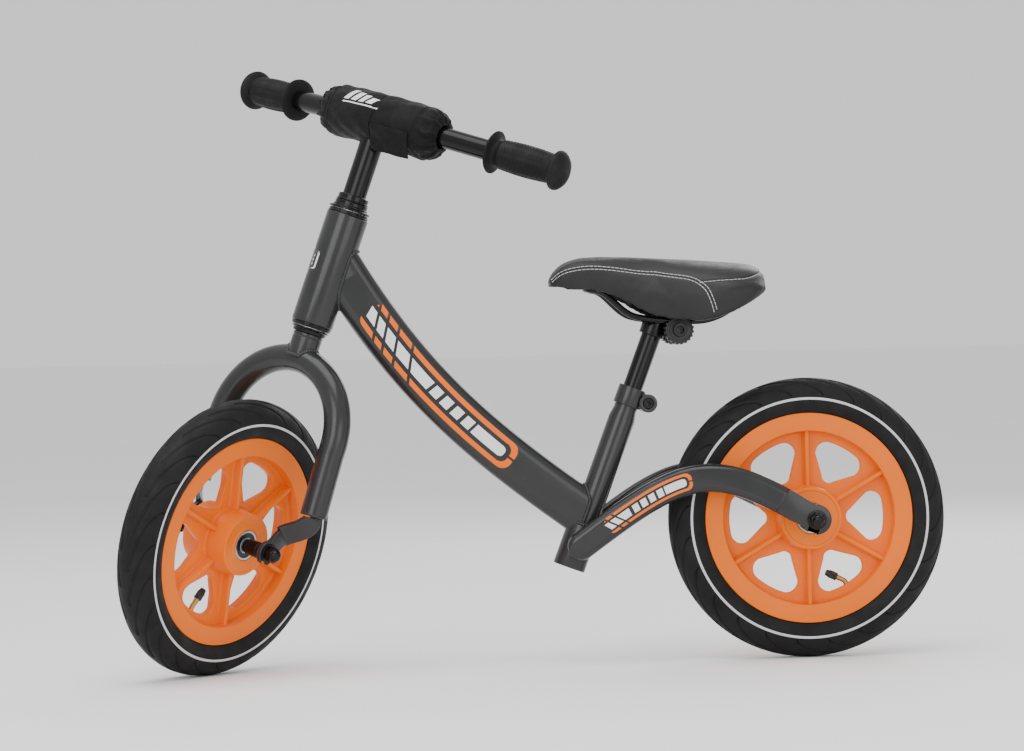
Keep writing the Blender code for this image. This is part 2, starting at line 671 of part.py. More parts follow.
def slope(degrees):
    """A unit vector that points backward and down at an angle below the horizontal."""
    return Vector((-math.cos(math.radians(degrees)), 0, -math.sin(math.radians(degrees))))


def steering_foot():
    """The point of the steering axis nearest to the front axle, with the wheel on the ground."""
    lean = math.radians(HEAD_LEAN)
    turn = math.radians(STEER_AT_REST)
    forward = Vector((math.cos(lean), 0, math.sin(lean)))
    tilt = math.asin(math.sin(lean) * math.sin(turn))
    tube = TYRE_WIDTH / 2
    axle_height = (WHEEL_RADIUS - tube) * math.cos(tilt) + tube
    foot_height = axle_height - FORK_OFFSET * math.sin(lean) * math.cos(turn)
    return Vector((WHEELBASE - forward.x * FORK_OFFSET, 0, foot_height))


def steering_up():
    return Vector((-math.sin(math.radians(HEAD_LEAN)), 0, math.cos(math.radians(HEAD_LEAN))))


def seat_up():
    return Vector((-math.sin(math.radians(SEAT_LEAN)), 0, math.cos(math.radians(SEAT_LEAN))))


def seat_foot():
    return Vector((SEAT_FOOT_X, 0, SEAT_FOOT_Z))


def main_tube_path():
    start = steering_foot() + steering_up() * MAIN_TUBE_HEAD
    end = seat_foot() + seat_up() * MAIN_TUBE_SEAT
    first = start + slope(MAIN_TUBE_HEAD_SLOPE) * MAIN_TUBE_SWEEP
    second = end - slope(MAIN_TUBE_SEAT_SLOPE) * MAIN_TUBE_SWEEP
    return bezier(start, first, second, end, 10)


def main_tube(base, head_axis, seat_axis):
    """The curved spine, coped to the head tube and the seat tube."""
    corner = MAIN_TUBE_WIDTH * 0.40
    section = rounded_box(MAIN_TUBE_WIDTH, MAIN_TUBE_DEPTH, corner, 3)
    hollow = rounded_box(MAIN_TUBE_WIDTH - 2 * MAIN_TUBE_WALL, MAIN_TUBE_DEPTH - 2 * MAIN_TUBE_WALL,
                         corner - MAIN_TUBE_WALL, 3)
    taper = MAIN_TUBE_SEAT_WIDTH / MAIN_TUBE_WIDTH
    skin_mesh = sweep("main_tube", main_tube_path(), section, (0, 1, 0), hollow, taper)
    tube = place(skin_mesh, "main_tube", base, PAINTED)
    head_cut = lathe("cut", tube_outline(0, HEAD_TUBE_OD / 2 + TOUCH_GAP, HEAD_TUBE_BOTTOM - MAIN_TUBE_DEPTH,
                                         HEAD_TUBE_TOP + MAIN_TUBE_DEPTH), 24)
    boolean(tube, head_cut, "DIFFERENCE", head_axis)
    seat_cut = lathe("cut", tube_outline(0, SEAT_TUBE_RADIUS + TOUCH_GAP, -SEAT_FOOT_LENGTH, SEAT_TUBE_LENGTH), 24)
    boolean(tube, seat_cut, "DIFFERENCE", seat_axis)
    foot_cut = lathe("cut", tube_outline(0, SEAT_FOOT_RADIUS + TOUCH_GAP, -SEAT_FOOT_LENGTH,
                                         SEAT_FOOT_LENGTH + SEAT_FOOT_SHOULDER + TOUCH_GAP), 24)
    boolean(tube, foot_cut, "DIFFERENCE", seat_axis)
    return tube


def seat_tube(axis):
    """Tube with a thick foot and a narrower, slotted neck that guides the seat post."""
    bore = SEAT_POST_RADIUS + RUN_GAP
    inner = SEAT_TUBE_RADIUS - SEAT_TUBE_WALL
    foot_inner = SEAT_FOOT_RADIUS - SEAT_FOOT_WALL
    outline = [
        (SEAT_NECK_RADIUS, SEAT_TUBE_LENGTH), (SEAT_NECK_RADIUS, SEAT_SWAGE_END),
        (SEAT_TUBE_RADIUS, SEAT_SWAGE_START), (SEAT_TUBE_RADIUS, SEAT_FOOT_LENGTH + SEAT_FOOT_SHOULDER),
        (SEAT_FOOT_RADIUS, SEAT_FOOT_LENGTH), (SEAT_FOOT_RADIUS, 0),
        (foot_inner, 0), (foot_inner, SEAT_FOOT_LENGTH - 2 * SEAT_FOOT_WALL),
        (inner, SEAT_FOOT_LENGTH - SEAT_FOOT_WALL), (inner, SEAT_SWAGE_START),
        (bore, SEAT_SWAGE_END), (bore, SEAT_TUBE_LENGTH),
    ]
    tube = place(lathe("seat_tube", outline, 20), "seat_tube", axis, PAINTED)
    reach = 2 * SEAT_TUBE_RADIUS
    slot = prism("slot", rounded_box(reach, CLAMP_SLOT, CLAMP_SLOT * 0.4, 1), SEAT_SWAGE_END + CLAMP_SLOT,
                 SEAT_TUBE_LENGTH + CLAMP_SLOT)
    boolean(tube, slot, "DIFFERENCE", axis, location=(-reach / 2, 0, 0))
    return tube


def seat_collar(axis):
    """The clamp round the seat tube's neck, with the lug that its bolt goes through."""
    top = SEAT_TUBE_LENGTH
    bottom = top - SEAT_COLLAR_HEIGHT
    bore = SEAT_NECK_RADIUS + TOUCH_GAP
    ring = place(lathe("collar", tube_outline(bore, SEAT_COLLAR_RADIUS, bottom, top), 20),
                 "seat_collar", axis, PAINTED)
    lug_centre = bottom + SEAT_COLLAR_HEIGHT * 0.48
    barrel = lathe("barrel", tube_outline(0, LUG_RADIUS, -LUG_WIDTH / 2, LUG_WIDTH / 2), 16)
    boolean(ring, barrel, "UNION", axis, location=(-LUG_SET_BACK, 0, lug_centre), turns=ALONG_Y)
    bore_cut = lathe("bore", tube_outline(0, bore, bottom - LUG_RADIUS, top + LUG_RADIUS), 20)
    boolean(ring, bore_cut, "DIFFERENCE", axis)
    reach = LUG_SET_BACK + 2 * LUG_RADIUS
    slot = prism("slot", rounded_box(reach, CLAMP_SLOT, CLAMP_SLOT * 0.2, 1), bottom - LUG_RADIUS,
                 top + LUG_RADIUS)
    boolean(ring, slot, "DIFFERENCE", axis, location=(-(reach + bore) / 2, 0, 0))
    through = LUG_BOLT_RADIUS + TOUCH_GAP
    counter = LUG_HEAD_RADIUS + TOUCH_GAP
    depth = LUG_WIDTH / 2 - LUG_HEAD_DEPTH
    hole = lathe("hole", [(counter, LUG_WIDTH), (counter, depth), (through, depth), (through, -depth),
                          (counter, -depth), (counter, -LUG_WIDTH), (0, -LUG_WIDTH), (0, LUG_WIDTH)], 12)
    boolean(ring, hole, "DIFFERENCE", axis, location=(-LUG_SET_BACK, 0, lug_centre), turns=ALONG_Y)
    shank = LUG_BOLT_RADIUS
    head = LUG_HEAD_RADIUS
    seat = depth + TOUCH_GAP
    key = shank * 0.8
    bolt = [(0, seat + 0.001), (key, seat + 0.001), (key, seat + LUG_HEAD_DEPTH), (head, seat + LUG_HEAD_DEPTH),
            (head, seat), (shank, seat), (shank, -seat - LUG_HEAD_DEPTH / 2), (0, -seat - LUG_HEAD_DEPTH / 2)]
    place(lathe("bolt", bolt, 12), "seat_collar_bolt", axis, BLACK_METAL,
          location=(-LUG_SET_BACK, 0, lug_centre), turns=ALONG_Y)
    nut = tube_outline(through, head, -seat - LUG_HEAD_DEPTH, -seat)
    place(lathe("nut", nut, 12), "seat_collar_nut", axis, BLACK_METAL,
          location=(-LUG_SET_BACK, 0, lug_centre), turns=ALONG_Y)


def stay_path(side):
    """Middle line of a chainstay: up from the seat tube's foot, over a hump and down to the dropout."""
    rear = Vector((STAY_REAR[0], 0, WHEEL_RADIUS + STAY_REAR[1]))
    front = Vector((SEAT_FOOT_X + STAY_FRONT[0], 0, SEAT_FOOT_Z + STAY_FRONT[1]))
    first = front + Vector((-0.100, 0, 0.074))
    second = rear + Vector((0.0800, 0, 0.0450))
    points = bezier(front, first, second, rear, 12)
    for point in points:
        share = (front.x - point.x) / (front.x - rear.x)
        point.y = side * (STAY_FRONT_Y + (STAY_REAR_Y - STAY_FRONT_Y) * share)
    return points


def chainstay(side, name, base, seat_axis):
    """Oval tube with a rounded front end, coped round the seat tube's foot."""
    section = rounded_box(STAY_WIDTH, STAY_DEPTH, STAY_WIDTH * 0.46, 3)
    points = stay_path(side)
    bm = bmesh.new()
    rings = []
    frames = frames_along(points, Vector((0, 1, 0)))
    point, across, up = frames[0]
    along = (points[1] - points[0]).normalized()
    for angle in (15, 40, 65):
        shrink = math.sin(math.radians(angle))
        back = along * (-STAY_DEPTH / 2 * math.cos(math.radians(angle)))
        rings.append([point + back + across * a * (0.55 + 0.45 * shrink) + up * b * shrink
                      for a, b in section])
    for point, across, up in frames:
        rings.append([point + across * a + up * b for a, b in section])
    skin(bm, rings, closed_ends=True)
    stay = place(finish_mesh(bm, name), name, base, PAINTED)
    cut = lathe("cut", tube_outline(0, SEAT_FOOT_RADIUS + TOUCH_GAP, -SEAT_FOOT_LENGTH, SEAT_TUBE_LENGTH), 24)
    boolean(stay, cut, "DIFFERENCE", seat_axis)
    return stay


def dropout_outline(radius, slot_angle, arm_length, arm_width, arm_angle):
    """A plate round the axle with a slot open at slot_angle and an arm reaching out at arm_angle."""
    slot = AXLE_RADIUS + TOUCH_GAP
    points = []
    arm_half = math.degrees(math.asin(min(arm_width / 2 / radius, 0.999)))
    slot_half = math.degrees(math.asin(slot / radius))

    def local(angle, x, y):
        c = math.cos(math.radians(angle))
        s = math.sin(math.radians(angle))
        return (x * c - y * s, x * s + y * c)

    points += arc((0, 0), radius, arm_angle + arm_half, slot_angle + 360 - slot_half, 10)
    round_in = arc((0, 0), slot, 90, 270, 6)
    points += [local(slot_angle, x, -y) for x, y in round_in]
    points += arc((0, 0), radius, slot_angle + slot_half, arm_angle - arm_half, 6)
    points.append(local(arm_angle, arm_length, -arm_width / 2))
    points.append(local(arm_angle, arm_length, arm_width / 2))
    return points


def rear_dropout(side, name, hub):
    """Plate at the end of a chainstay, slot open forward and down."""
    stay_end = Vector(STAY_REAR)
    arm_angle = math.degrees(math.atan2(stay_end.y, stay_end.x))
    outline = dropout_outline(REAR_DROPOUT_RADIUS, -70, stay_end.length - 2 * TOUCH_GAP,
                              REAR_DROPOUT_ARM_WIDTH, arm_angle)
    inner = DROPOUT_INNER
    outer = DROPOUT_INNER + DROPOUT_THICKNESS
    low, high = (-outer, -inner) if side > 0 else (inner, outer)
    place(prism(name, outline, low, high), name, hub, PAINTED, turns=(("X", 90),))


# ---------------------------------------------------------------- fork
def fork_path():
    """Middle line of the fork tube, from the end of one blade over the arch to the other."""
    splay = FORK_BLADE_SPLAY
    steps = 13
    points = []
    for i in range(steps + 1):
        angle = math.radians(-splay + (180 + 2 * splay) * i / steps)
        points.append(Vector((0, FORK_ARCH_RADIUS * math.cos(angle),
                              FORK_ARCH_CENTRE + FORK_ARCH_RADIUS * math.sin(angle))))
    run = points[0].z - FORK_BLADE_END
    lean = Vector((0, math.tan(math.radians(splay)), -1))
    points.insert(0, points[0] + lean * run)
    mirrored = Vector((0, -lean.y, lean.z))
    points.append(points[-1] + mirrored * run)
    return points


def fork_arch(pivot_fork):
    place(sweep("fork_arch", fork_path(), circle(FORK_TUBE_RADIUS, 14), (1, 0, 0),
                circle(FORK_TUBE_RADIUS - FORK_TUBE_WALL, 14)), "fork_arch", pivot_fork, PAINTED)


def steerer(pivot_fork):
    """Steerer with its thicker collar, coped to sit on the arch."""
    inner = STEERER_OD / 2 - STEERER_WALL
    top = HEAD_TUBE_TOP + STEERER_TOP
    bottom = FORK_ARCH_TOP - STEERER_COLLAR_DEPTH
    race_seat = HEAD_TUBE_BOTTOM - CUP_FLANGE_HEIGHT - CROWN_RACE_HEIGHT
    outline = [
        (STEERER_OD / 2, top), (STEERER_OD / 2, race_seat), (STEERER_COLLAR_RADIUS, race_seat),
        (STEERER_COLLAR_RADIUS, bottom), (inner, bottom), (inner, top),
    ]
    tube = place(lathe("steerer", outline, 20), "steerer_tube", pivot_fork, PAINTED)
    cut = sweep("cut", fork_path(), circle(FORK_TUBE_RADIUS + TOUCH_GAP, 14), (1, 0, 0))
    boolean(tube, cut, "DIFFERENCE", pivot_fork)
    return tube


def headset_moving(pivot_fork):
    """Crown race, ball cages, adjusting race and lock nut, which turn with the steerer."""
    bore = STEERER_OD / 2 + TOUCH_GAP
    cage_outer = CUP_FLANGE_RADIUS - CUP_WALL - RUN_GAP
    lower = HEAD_TUBE_BOTTOM
    upper = HEAD_TUBE_TOP
    cage_bottom = CUP_FLOOR + RUN_GAP
    cage_top = TOUCH_GAP + CUP_FLANGE_HEIGHT + RUN_GAP
    cage = tube_outline(bore, cage_outer, cage_bottom, cage_top)
    place(lathe("cage", cage, 18), "headset_balls_upper", pivot_fork, BARE_STEEL, location=(0, 0, upper))
    place(lathe("cage", cage, 18), "headset_balls_lower", pivot_fork, BARE_STEEL,
          location=(0, 0, lower), turns=(("X", 180),))
    seat = cage_top + TOUCH_GAP
    race_bottom = CUP_FLANGE_HEIGHT + CROWN_RACE_HEIGHT - TOUCH_GAP
    crown_radius = CUP_FLANGE_RADIUS - CUP_FLOOR
    crown = [(crown_radius, -seat), (crown_radius, -seat - 0.0014), (RACE_RADIUS, -race_bottom),
             (bore, -race_bottom), (bore, -seat)]
    place(lathe("crown", crown, 18), "crown_race", pivot_fork, BLACK_METAL, location=(0, 0, lower))
    race_top = seat + RACE_HEIGHT
    adjusting = [(bore, race_top), (RACE_RADIUS - CHAMFER, race_top), (RACE_RADIUS, race_top - 2 * CHAMFER),
                 (RACE_RADIUS, seat + 0.0018), (RACE_SKIRT_RADIUS, seat + 0.0016), (RACE_SKIRT_RADIUS, seat),
                 (bore, seat)]
    place(lathe("race", adjusting, 18), "headset_adjusting_race", pivot_fork, BLACK_METAL,
          location=(0, 0, upper))
    nut_base = race_top + TOUCH_GAP
    nut_top = nut_base + LOCK_NUT_HEIGHT
    lock = [(bore, nut_top), (LOCK_NUT_RADIUS - CHAMFER, nut_top), (LOCK_NUT_RADIUS, nut_top - CHAMFER),
            (LOCK_NUT_RADIUS, nut_base + 0.0012), (RACE_RADIUS, nut_base + 0.0010), (RACE_RADIUS, nut_base),
            (bore, nut_base)]
    place(lathe("lock", lock, 18), "headset_lock_nut", pivot_fork, BLACK_METAL, location=(0, 0, upper))


def fork_dropout(side, name, pivot_fork):
    """Bent plate from the end of a blade forward and in to the axle, slot open downward."""
    blade_y = FORK_ARCH_RADIUS + (FORK_ARCH_CENTRE - FORK_BLADE_END) * math.tan(math.radians(FORK_BLADE_SPLAY))
    inner = DROPOUT_INNER
    outer = DROPOUT_INNER + DROPOUT_THICKNESS
    low, high = (-outer, -inner) if side > 0 else (inner, outer)
    outline = dropout_outline(FORK_DROPOUT_RADIUS, -90, FORK_ARM_LENGTH, FORK_ARM_WIDTH, FORK_ARM_ANGLE)
    plate = prism(name, outline, low, high)
    plate.transform(Matrix.Translation((FORK_OFFSET, 0, 0)) @ turned("X", 90))
    made = place(plate, name, pivot_fork, PAINTED)
    across = Vector((math.cos(math.radians(FORK_ARM_ANGLE)), 0, math.sin(math.radians(FORK_ARM_ANGLE))))
    start = Vector((FORK_OFFSET, side * (inner + outer) / 2, 0)) + across * (FORK_ARM_LENGTH - 0.004)
    end = Vector((0, side * (blade_y - 0.001), FORK_BLADE_END - 0.0030))
    flat = rounded_box(FORK_ARM_WIDTH * 0.95, DROPOUT_THICKNESS * 0.98, 0.001, 1)
    path = bezier(start, start + across * 0.008, end - Vector((0, 0, 0.016)), end, 6)
    normal = Vector((across.z, 0, -across.x))
    arm = sweep("arm", path, flat, normal)
    boolean(made, arm, "UNION", pivot_fork)
    return made


# ---------------------------------------------------------------- handlebar
def bar_point(distance):
    """A point of the handlebar's middle line, measured sideways from its middle."""
    sweep_angle = math.radians(BAR_SWEEP)
    bend = BAR_BEND_RADIUS * math.tan(sweep_angle)
    side = 1 if distance >= 0 else -1
    reach = abs(distance)
    if reach < bend:
        setback = reach * reach / (2 * bend) * math.sin(sweep_angle)
        return Vector((-setback, side * reach, 0))
    setback = bend / 2 * math.sin(sweep_angle) + (reach - bend) * math.sin(sweep_angle)
    return Vector((-setback, side * (bend + (reach - bend) * math.cos(sweep_angle)), 0))


def bar_matrix(side):
    """Places a piece made along Z so that it lies along one half of the bar, Z pointing outward."""
    direction = (bar_point(side * 0.2) - bar_point(side * 0.1)).normalized()
    start = bar_point(side * 0.1) - direction * 0.1
    return Matrix.Translation(start) @ direction.to_track_quat("Z", "X").to_matrix().to_4x4()


def handlebar_tube(bar):
    stations = [-1, -0.12, -0.06, 0, 0.06, 0.12, 1]
    points = [bar_point(BAR_HALF_LENGTH * share) for share in stations]
    place(sweep("handlebar_tube", points, circle(BAR_RADIUS, 16), (1, 0, 0),
                circle(BAR_RADIUS - BAR_WALL, 16)), "handlebar_tube", bar, BLACK_METAL)


def stem_tube(bar):
    """Quill stem under the bar: coped to it, with the expander's slanted foot below."""
    bottom = HEAD_TUBE_TOP + STEERER_TOP - STEM_INSERTED - BAR_HEIGHT
    slant = bottom + 0.010
    outline = tube_outline(STEM_RADIUS - STEM_WALL, STEM_RADIUS, bottom, 0.0)
    stem = place(lathe("stem", outline, 20), "stem_tube", bar, BLACK_METAL)
    points = [bar_point(share * 0.06) for share in (-1, -0.6, -0.3, 0, 0.3, 0.6, 1)]
    cut = sweep("cut", points, circle(BAR_RADIUS + TOUCH_GAP, 16), (1, 0, 0))
    boolean(stem, cut, "DIFFERENCE", bar)
    wedge_cut = prism("wedge_cut", rounded_box(0.08, 0.06, 0.001, 1), -0.05, 0.0)
    boolean(stem, wedge_cut, "DIFFERENCE", bar, location=(0, 0, slant), turns=(("Y", WEDGE_SLANT),))
    wedge_end = slant - WEDGE_LENGTH
    wedge = place(lathe("wedge", tube_outline(EXPANDER_BOLT_RADIUS + TOUCH_GAP, STEM_RADIUS - STEM_CLEARANCE,
                                              wedge_end, bottom + STEM_RADIUS), 20),
                  "expander_wedge", bar, BARE_STEEL)
    wedge_top = prism("wedge_top", rounded_box(0.08, 0.06, 0.001, 1), 0.0, 0.05)
    boolean(wedge, wedge_top, "DIFFERENCE", bar, location=(0, 0, slant - TOUCH_GAP),
            turns=(("Y", WEDGE_SLANT),))
    head_seat = -BAR_RADIUS - 0.0100
    bolt = [(0, head_seat), (EXPANDER_BOLT_RADIUS, head_seat),
            (EXPANDER_BOLT_RADIUS, wedge_end - 0.006), (0, wedge_end - 0.006)]
    place(lathe("bolt", bolt, 12), "expander_bolt", bar, BLACK_METAL)


def grip(side, name, bar):
    """Rubber grip: thin inner flange, short neck, bulged barrel and a closed mushroom end."""
    bore = BAR_RADIUS + TOUCH_GAP
    end = BAR_HALF_LENGTH + 0.0008
    cap = GRIP_END
    outline = [
        (bore, GRIP_START), (GRIP_FLANGE_RADIUS - 0.004, GRIP_START + 0.0010),
        (GRIP_FLANGE_RADIUS, GRIP_START + 0.0030), (GRIP_FLANGE_RADIUS, GRIP_START + 0.0050),
        (GRIP_RADIUS, GRIP_START + 0.0065), (GRIP_NECK_RADIUS, GRIP_START + 0.0080),
        (GRIP_NECK_RADIUS, GRIP_START + 0.0120), (GRIP_RADIUS, GRIP_START + 0.0150),
        (GRIP_RADIUS + 0.0012, (GRIP_START + cap) / 2), (GRIP_RADIUS, cap - 0.0160),
        (GRIP_RADIUS - 0.0010, cap - 0.0120), (GRIP_CAP_RADIUS - 0.0015, cap - 0.0100),
        (GRIP_CAP_RADIUS, cap - 0.0070), (GRIP_CAP_RADIUS - 0.0012, cap - 0.0030),
        (GRIP_CAP_RADIUS * 0.75, cap + 0.0010), (GRIP_CAP_RADIUS * 0.4, cap + 0.0035), (0, cap + 0.0045),
        (0, end), (bore, end),
    ]
    mesh_data = lathe(name, outline, 16)
    mesh_data.transform(bar_matrix(side))
    place(mesh_data, name, bar, GRIP_RUBBER)


def bar_pad(bar):
    """Padded sleeve round the middle of the bar, open at both ends and notched over the stem."""
    bore = BAR_RADIUS + PAD_CLEARANCE
    steps = 14
    waist = (PAD_RADIUS + PAD_END_RADIUS) / 2
    stations = [(-1.0, PAD_END_RADIUS), (-0.93, waist), (-0.80, PAD_RADIUS - 0.001),
                (0, PAD_RADIUS), (0.80, PAD_RADIUS - 0.001), (0.93, waist),
                (1.0, PAD_END_RADIUS)]
    points = [bar_point(share * PAD_LENGTH / 2) for share, _ in stations]
    frames = frames_along(points, Vector((1, 0, 0)))
    rings = []
    for (point, across, up), (_, radius) in zip(frames, stations):
        rings.append([point + across * a + up * b for a, b in circle(radius, steps)])
    for point, across, up in reversed(frames):
        rings.append([point + across * a + up * b for a, b in circle(bore, steps)])
    bm = bmesh.new()
    skin(bm, rings, closed_ends=False)
    pad = place(finish_mesh(bm, "bar_pad"), "bar_pad", bar, PAD_CLOTH)
    notch = lathe("notch", tube_outline(0, STEM_RADIUS + PAD_CLEARANCE, -2 * PAD_RADIUS, 0.0), 16)
    boolean(pad, notch, "DIFFERENCE", bar)
    return pad


# ---------------------------------------------------------------- seat
def seat_post(post):
    """Hollow post; its local zero is the collar's top."""
    outline = [
        (SEAT_POST_RADIUS, SEAT_POST_TOP - 0.001), (SEAT_POST_RADIUS, -SEAT_POST_BOTTOM),
        (SEAT_POST_RADIUS - SEAT_POST_WALL, -SEAT_POST_BOTTOM),
        (SEAT_POST_RADIUS - SEAT_POST_WALL, SEAT_POST_TOP),
        (SEAT_POST_RADIUS - 0.001, SEAT_POST_TOP),
    ]
    place(lathe("post", outline, 20), "seat_post", post, BLACK_METAL)


def saddle_clamp(post):
    """Band round the post's top with a solid ear that carries the clamp bolt."""
    bore = SEAT_POST_RADIUS + TOUCH_GAP
    bottom = TILT_HEIGHT - CLAMP_BAND_BELOW
    top = TILT_HEIGHT + CLAMP_BAND_ABOVE
    band = place(lathe("band", tube_outline(bore, bore + CLAMP_BAND_WALL, bottom, top), 20), "saddle_clamp",
                 post, BLACK_METAL)
    ear = lathe("ear", tube_outline(0, CLAMP_EAR_RADIUS, -CLAMP_EAR_HALF_WIDTH, CLAMP_EAR_HALF_WIDTH), 16)
    boolean(band, ear, "UNION", post, location=(-TILT_SET_BACK, 0, TILT_HEIGHT), turns=ALONG_Y)
    clear = lathe("clear", tube_outline(0, bore, bottom - CLAMP_EAR_RADIUS, top + CLAMP_EAR_RADIUS), 20)
    boolean(band, clear, "DIFFERENCE", post)
    hole = lathe("hole", tube_outline(0, CLAMP_BOLT_RADIUS + RUN_GAP, -CLAMP_DISC_OUTER, CLAMP_DISC_OUTER), 12)
    boolean(band, hole, "DIFFERENCE", post, location=(-TILT_SET_BACK, 0, TILT_HEIGHT), turns=ALONG_Y)


def rail_path():
    """Both rails in one wire: joined by a cross run at the nose, with open ends at the rear."""
    side = RAIL_SPACING / 2
    tail_x = -0.0640
    nose_x = 0.0960
    under_shell = SADDLE_SHELL_THICKNESS + RAIL_RADIUS + 2 * TOUCH_GAP + 0.0001
    tail_z = saddle_floor_at(tail_x) - under_shell
    nose_z = saddle_floor_at(nose_x) - under_shell
    half = [
        Vector((tail_x, side * 1.06, tail_z)),
        Vector((-0.0460, side * 1.03, 0.0155)),
        Vector((-0.0320, side, 0.0102)),
        Vector((-0.0160, side, 0.0088)),
        Vector((0.0140, side, 0.0105)),
        Vector((0.0400, side, 0.0135)),
        Vector((0.0560, side * 0.92, 0.0200)),
        Vector((nose_x - 0.0180, side * 0.70, nose_z - 0.0055)),
        Vector((nose_x - 0.0050, side * 0.50, nose_z - 0.0010)),
        Vector((nose_x, side * 0.20, nose_z)),
    ]
    mirrored = [Vector((point.x, -point.y, point.z)) for point in reversed(half)]
    return half + mirrored


def wire(name, radius):
    """The rail wire, or a thicker one that cuts its channel."""
    points = rail_path()
    bm = bmesh.new()
    frames = []
    for i, point in enumerate(points):
        along = (points[min(i + 1, len(points) - 1)] - points[max(i - 1, 0)]).normalized()
        frames.append((point, along))
    across = frames[0][1].orthogonal().normalized()
    rings = []
    for point, along in frames:
        across = (across - along * across.dot(along)).normalized()
        up = along.cross(across)
        rings.append([point + across * a + up * b for a, b in circle(radius, 8)])
    skin(bm, rings, closed_ends=True)
    return finish_mesh(bm, name)


def saddle_rails(tilt):
    place(wire("saddle_rails", RAIL_RADIUS), "saddle_rails", tilt, BLACK_METAL)


def rail_clamp(side, name, tilt):
    """Toothed disc beside the clamp's ear, with a channel that holds its rail."""
    inner = CLAMP_EAR_HALF_WIDTH + RUN_GAP
    outer = CLAMP_DISC_OUTER
    teeth = 12
    bm = bmesh.new()

    def ring(outer_radius, depth, height):
        return [((outer_radius - depth * (i % 2)) * math.cos(math.pi * i / teeth),
                 (outer_radius - depth * (i % 2)) * math.sin(math.pi * i / teeth), height)
                for i in range(2 * teeth)]

    bore = CLAMP_BOLT_RADIUS + TOUCH_GAP
    rings = [
        ring(CLAMP_DISC_RADIUS - 0.0030, 0.0, inner),
        ring(CLAMP_DISC_RADIUS, 0.0008, inner + 0.0015),
        ring(CLAMP_DISC_RADIUS, 0.0008, outer - 0.0015),
        ring(CLAMP_DISC_RADIUS - 0.0010, 0.0, outer),
        ring(bore, 0.0, outer),
        ring(bore, 0.0, inner),
    ]
    skin(bm, rings, closed_ends=False)
    disc = place(finish_mesh(bm, name), name, tilt, BLACK_PLASTIC, turns=(("X", -90 if side > 0 else 90),))
    boolean(disc, wire("channel", RAIL_RADIUS + TOUCH_GAP), "DIFFERENCE", tilt)
    return disc


def clamp_bolt(tilt):
    reach = CLAMP_DISC_OUTER + TOUCH_GAP
    end = reach + CLAMP_HEAD_HEIGHT
    head = CLAMP_HEAD_RADIUS
    bolt = [(0, end), (head - CHAMFER, end), (head, end - CHAMFER), (head, reach),
            (CLAMP_BOLT_RADIUS, reach), (CLAMP_BOLT_RADIUS, -reach), (head, -reach),
            (head, CHAMFER - end), (head - CHAMFER, -end), (0, -end)]
    place(lathe("bolt", bolt, 12), "saddle_clamp_bolt", tilt, BLACK_METAL, turns=ALONG_Y)


def saddle_sections():
    """Stations from nose to tail: (x, half width, crown height, edge height, belly height)."""
    nose = SADDLE_NOSE_WIDTH / 2
    tail = SADDLE_WIDTH / 2
    return [
        (0.1370, nose * 0.30, 0.0540, 0.0515, 0.0490),
        (0.1330, nose * 0.62, 0.0620, 0.0560, 0.0470),
        (0.1220, nose * 0.90, 0.0725, 0.0640, 0.0460),
        (0.1050, nose * 1.02, 0.0780, 0.0680, 0.0450),
        (0.0850, nose * 1.10, 0.0785, 0.0690, 0.0420),
        (0.0600, nose * 1.28, 0.0765, 0.0660, 0.0330),
        (0.0300, nose * 1.62, 0.0745, 0.0610, 0.0170),
        (0.0000, tail * 0.78, 0.0725, 0.0560, 0.0110),
        (-0.0250, tail * 0.93, 0.0710, 0.0530, 0.0100),
        (-0.0450, tail, 0.0700, 0.0510, 0.0150),
        (-0.0650, tail * 0.99, 0.0690, 0.0500, 0.0240),
        (-0.0800, tail * 0.92, 0.0675, 0.0480, 0.0320),
        (-0.0890, tail * 0.78, 0.0630, 0.0450, 0.0370),
        (-0.0920, tail * 0.62, 0.0560, 0.0440, 0.0400),
    ]


def saddle_floor(station):
    """Height of the padding's underside between its hanging sides."""
    _, _, crown, edge, belly = station
    return min(belly + min(0.0100, 0.3 * (crown - belly)), edge - 0.004)


def saddle_floor_at(x):
    stations = saddle_sections()
    for ahead, behind in zip(stations, stations[1:]):
        if behind[0] <= x <= ahead[0]:
            share = (x - behind[0]) / (ahead[0] - behind[0])
            return saddle_floor(behind) + (saddle_floor(ahead) - saddle_floor(behind)) * share
    return saddle_floor(stations[-1])


def saddle_ring(station):
    """One cross-section of the padding: domed top, rounded shoulders, sides that hang down."""
    x, half, crown, edge, belly = station
    shape = (
        (0.0, crown), (0.38, crown - 0.0015), (0.70, crown - 0.35 * (crown - edge)), (0.90, edge + 0.0010),
        (1.0, edge - 0.30 * (edge - belly)), (0.98, belly + 0.25 * (edge - belly)), (0.93, belly),
        (0.80, belly + 0.0002), (SADDLE_RECESS, saddle_floor(station)),
    )
    right = [(half * share, height) for share, height in shape]
    points = right + [(-y, z) for y, z in reversed(right) if y > 0]
    return [(x, y, z) for y, z in points]


def saddle_cover(tilt):
    bm = bmesh.new()
    skin(bm, [saddle_ring(station) for station in saddle_sections()], closed_ends=True)
    place(finish_mesh(bm, "saddle_cover"), "saddle_cover", tilt, SADDLE_SKIN)


def saddle_shell(tilt):
    """Stiff plate between the padding and the rails."""
    rings = []
    for station in saddle_sections()[3:11]:
        half = station[1] * SADDLE_RECESS - 0.001
        top = saddle_floor(station) - TOUCH_GAP
        bottom = top - SADDLE_SHELL_THICKNESS
        rings.append([(station[0], -half, top), (station[0], half, top),
                      (station[0], half - 0.001, bottom), (station[0], -half + 0.001, bottom)])
    bm = bmesh.new()
    skin(bm, rings, closed_ends=True)
    place(finish_mesh(bm, "saddle_shell"), "saddle_shell", tilt, BLACK_PLASTIC)


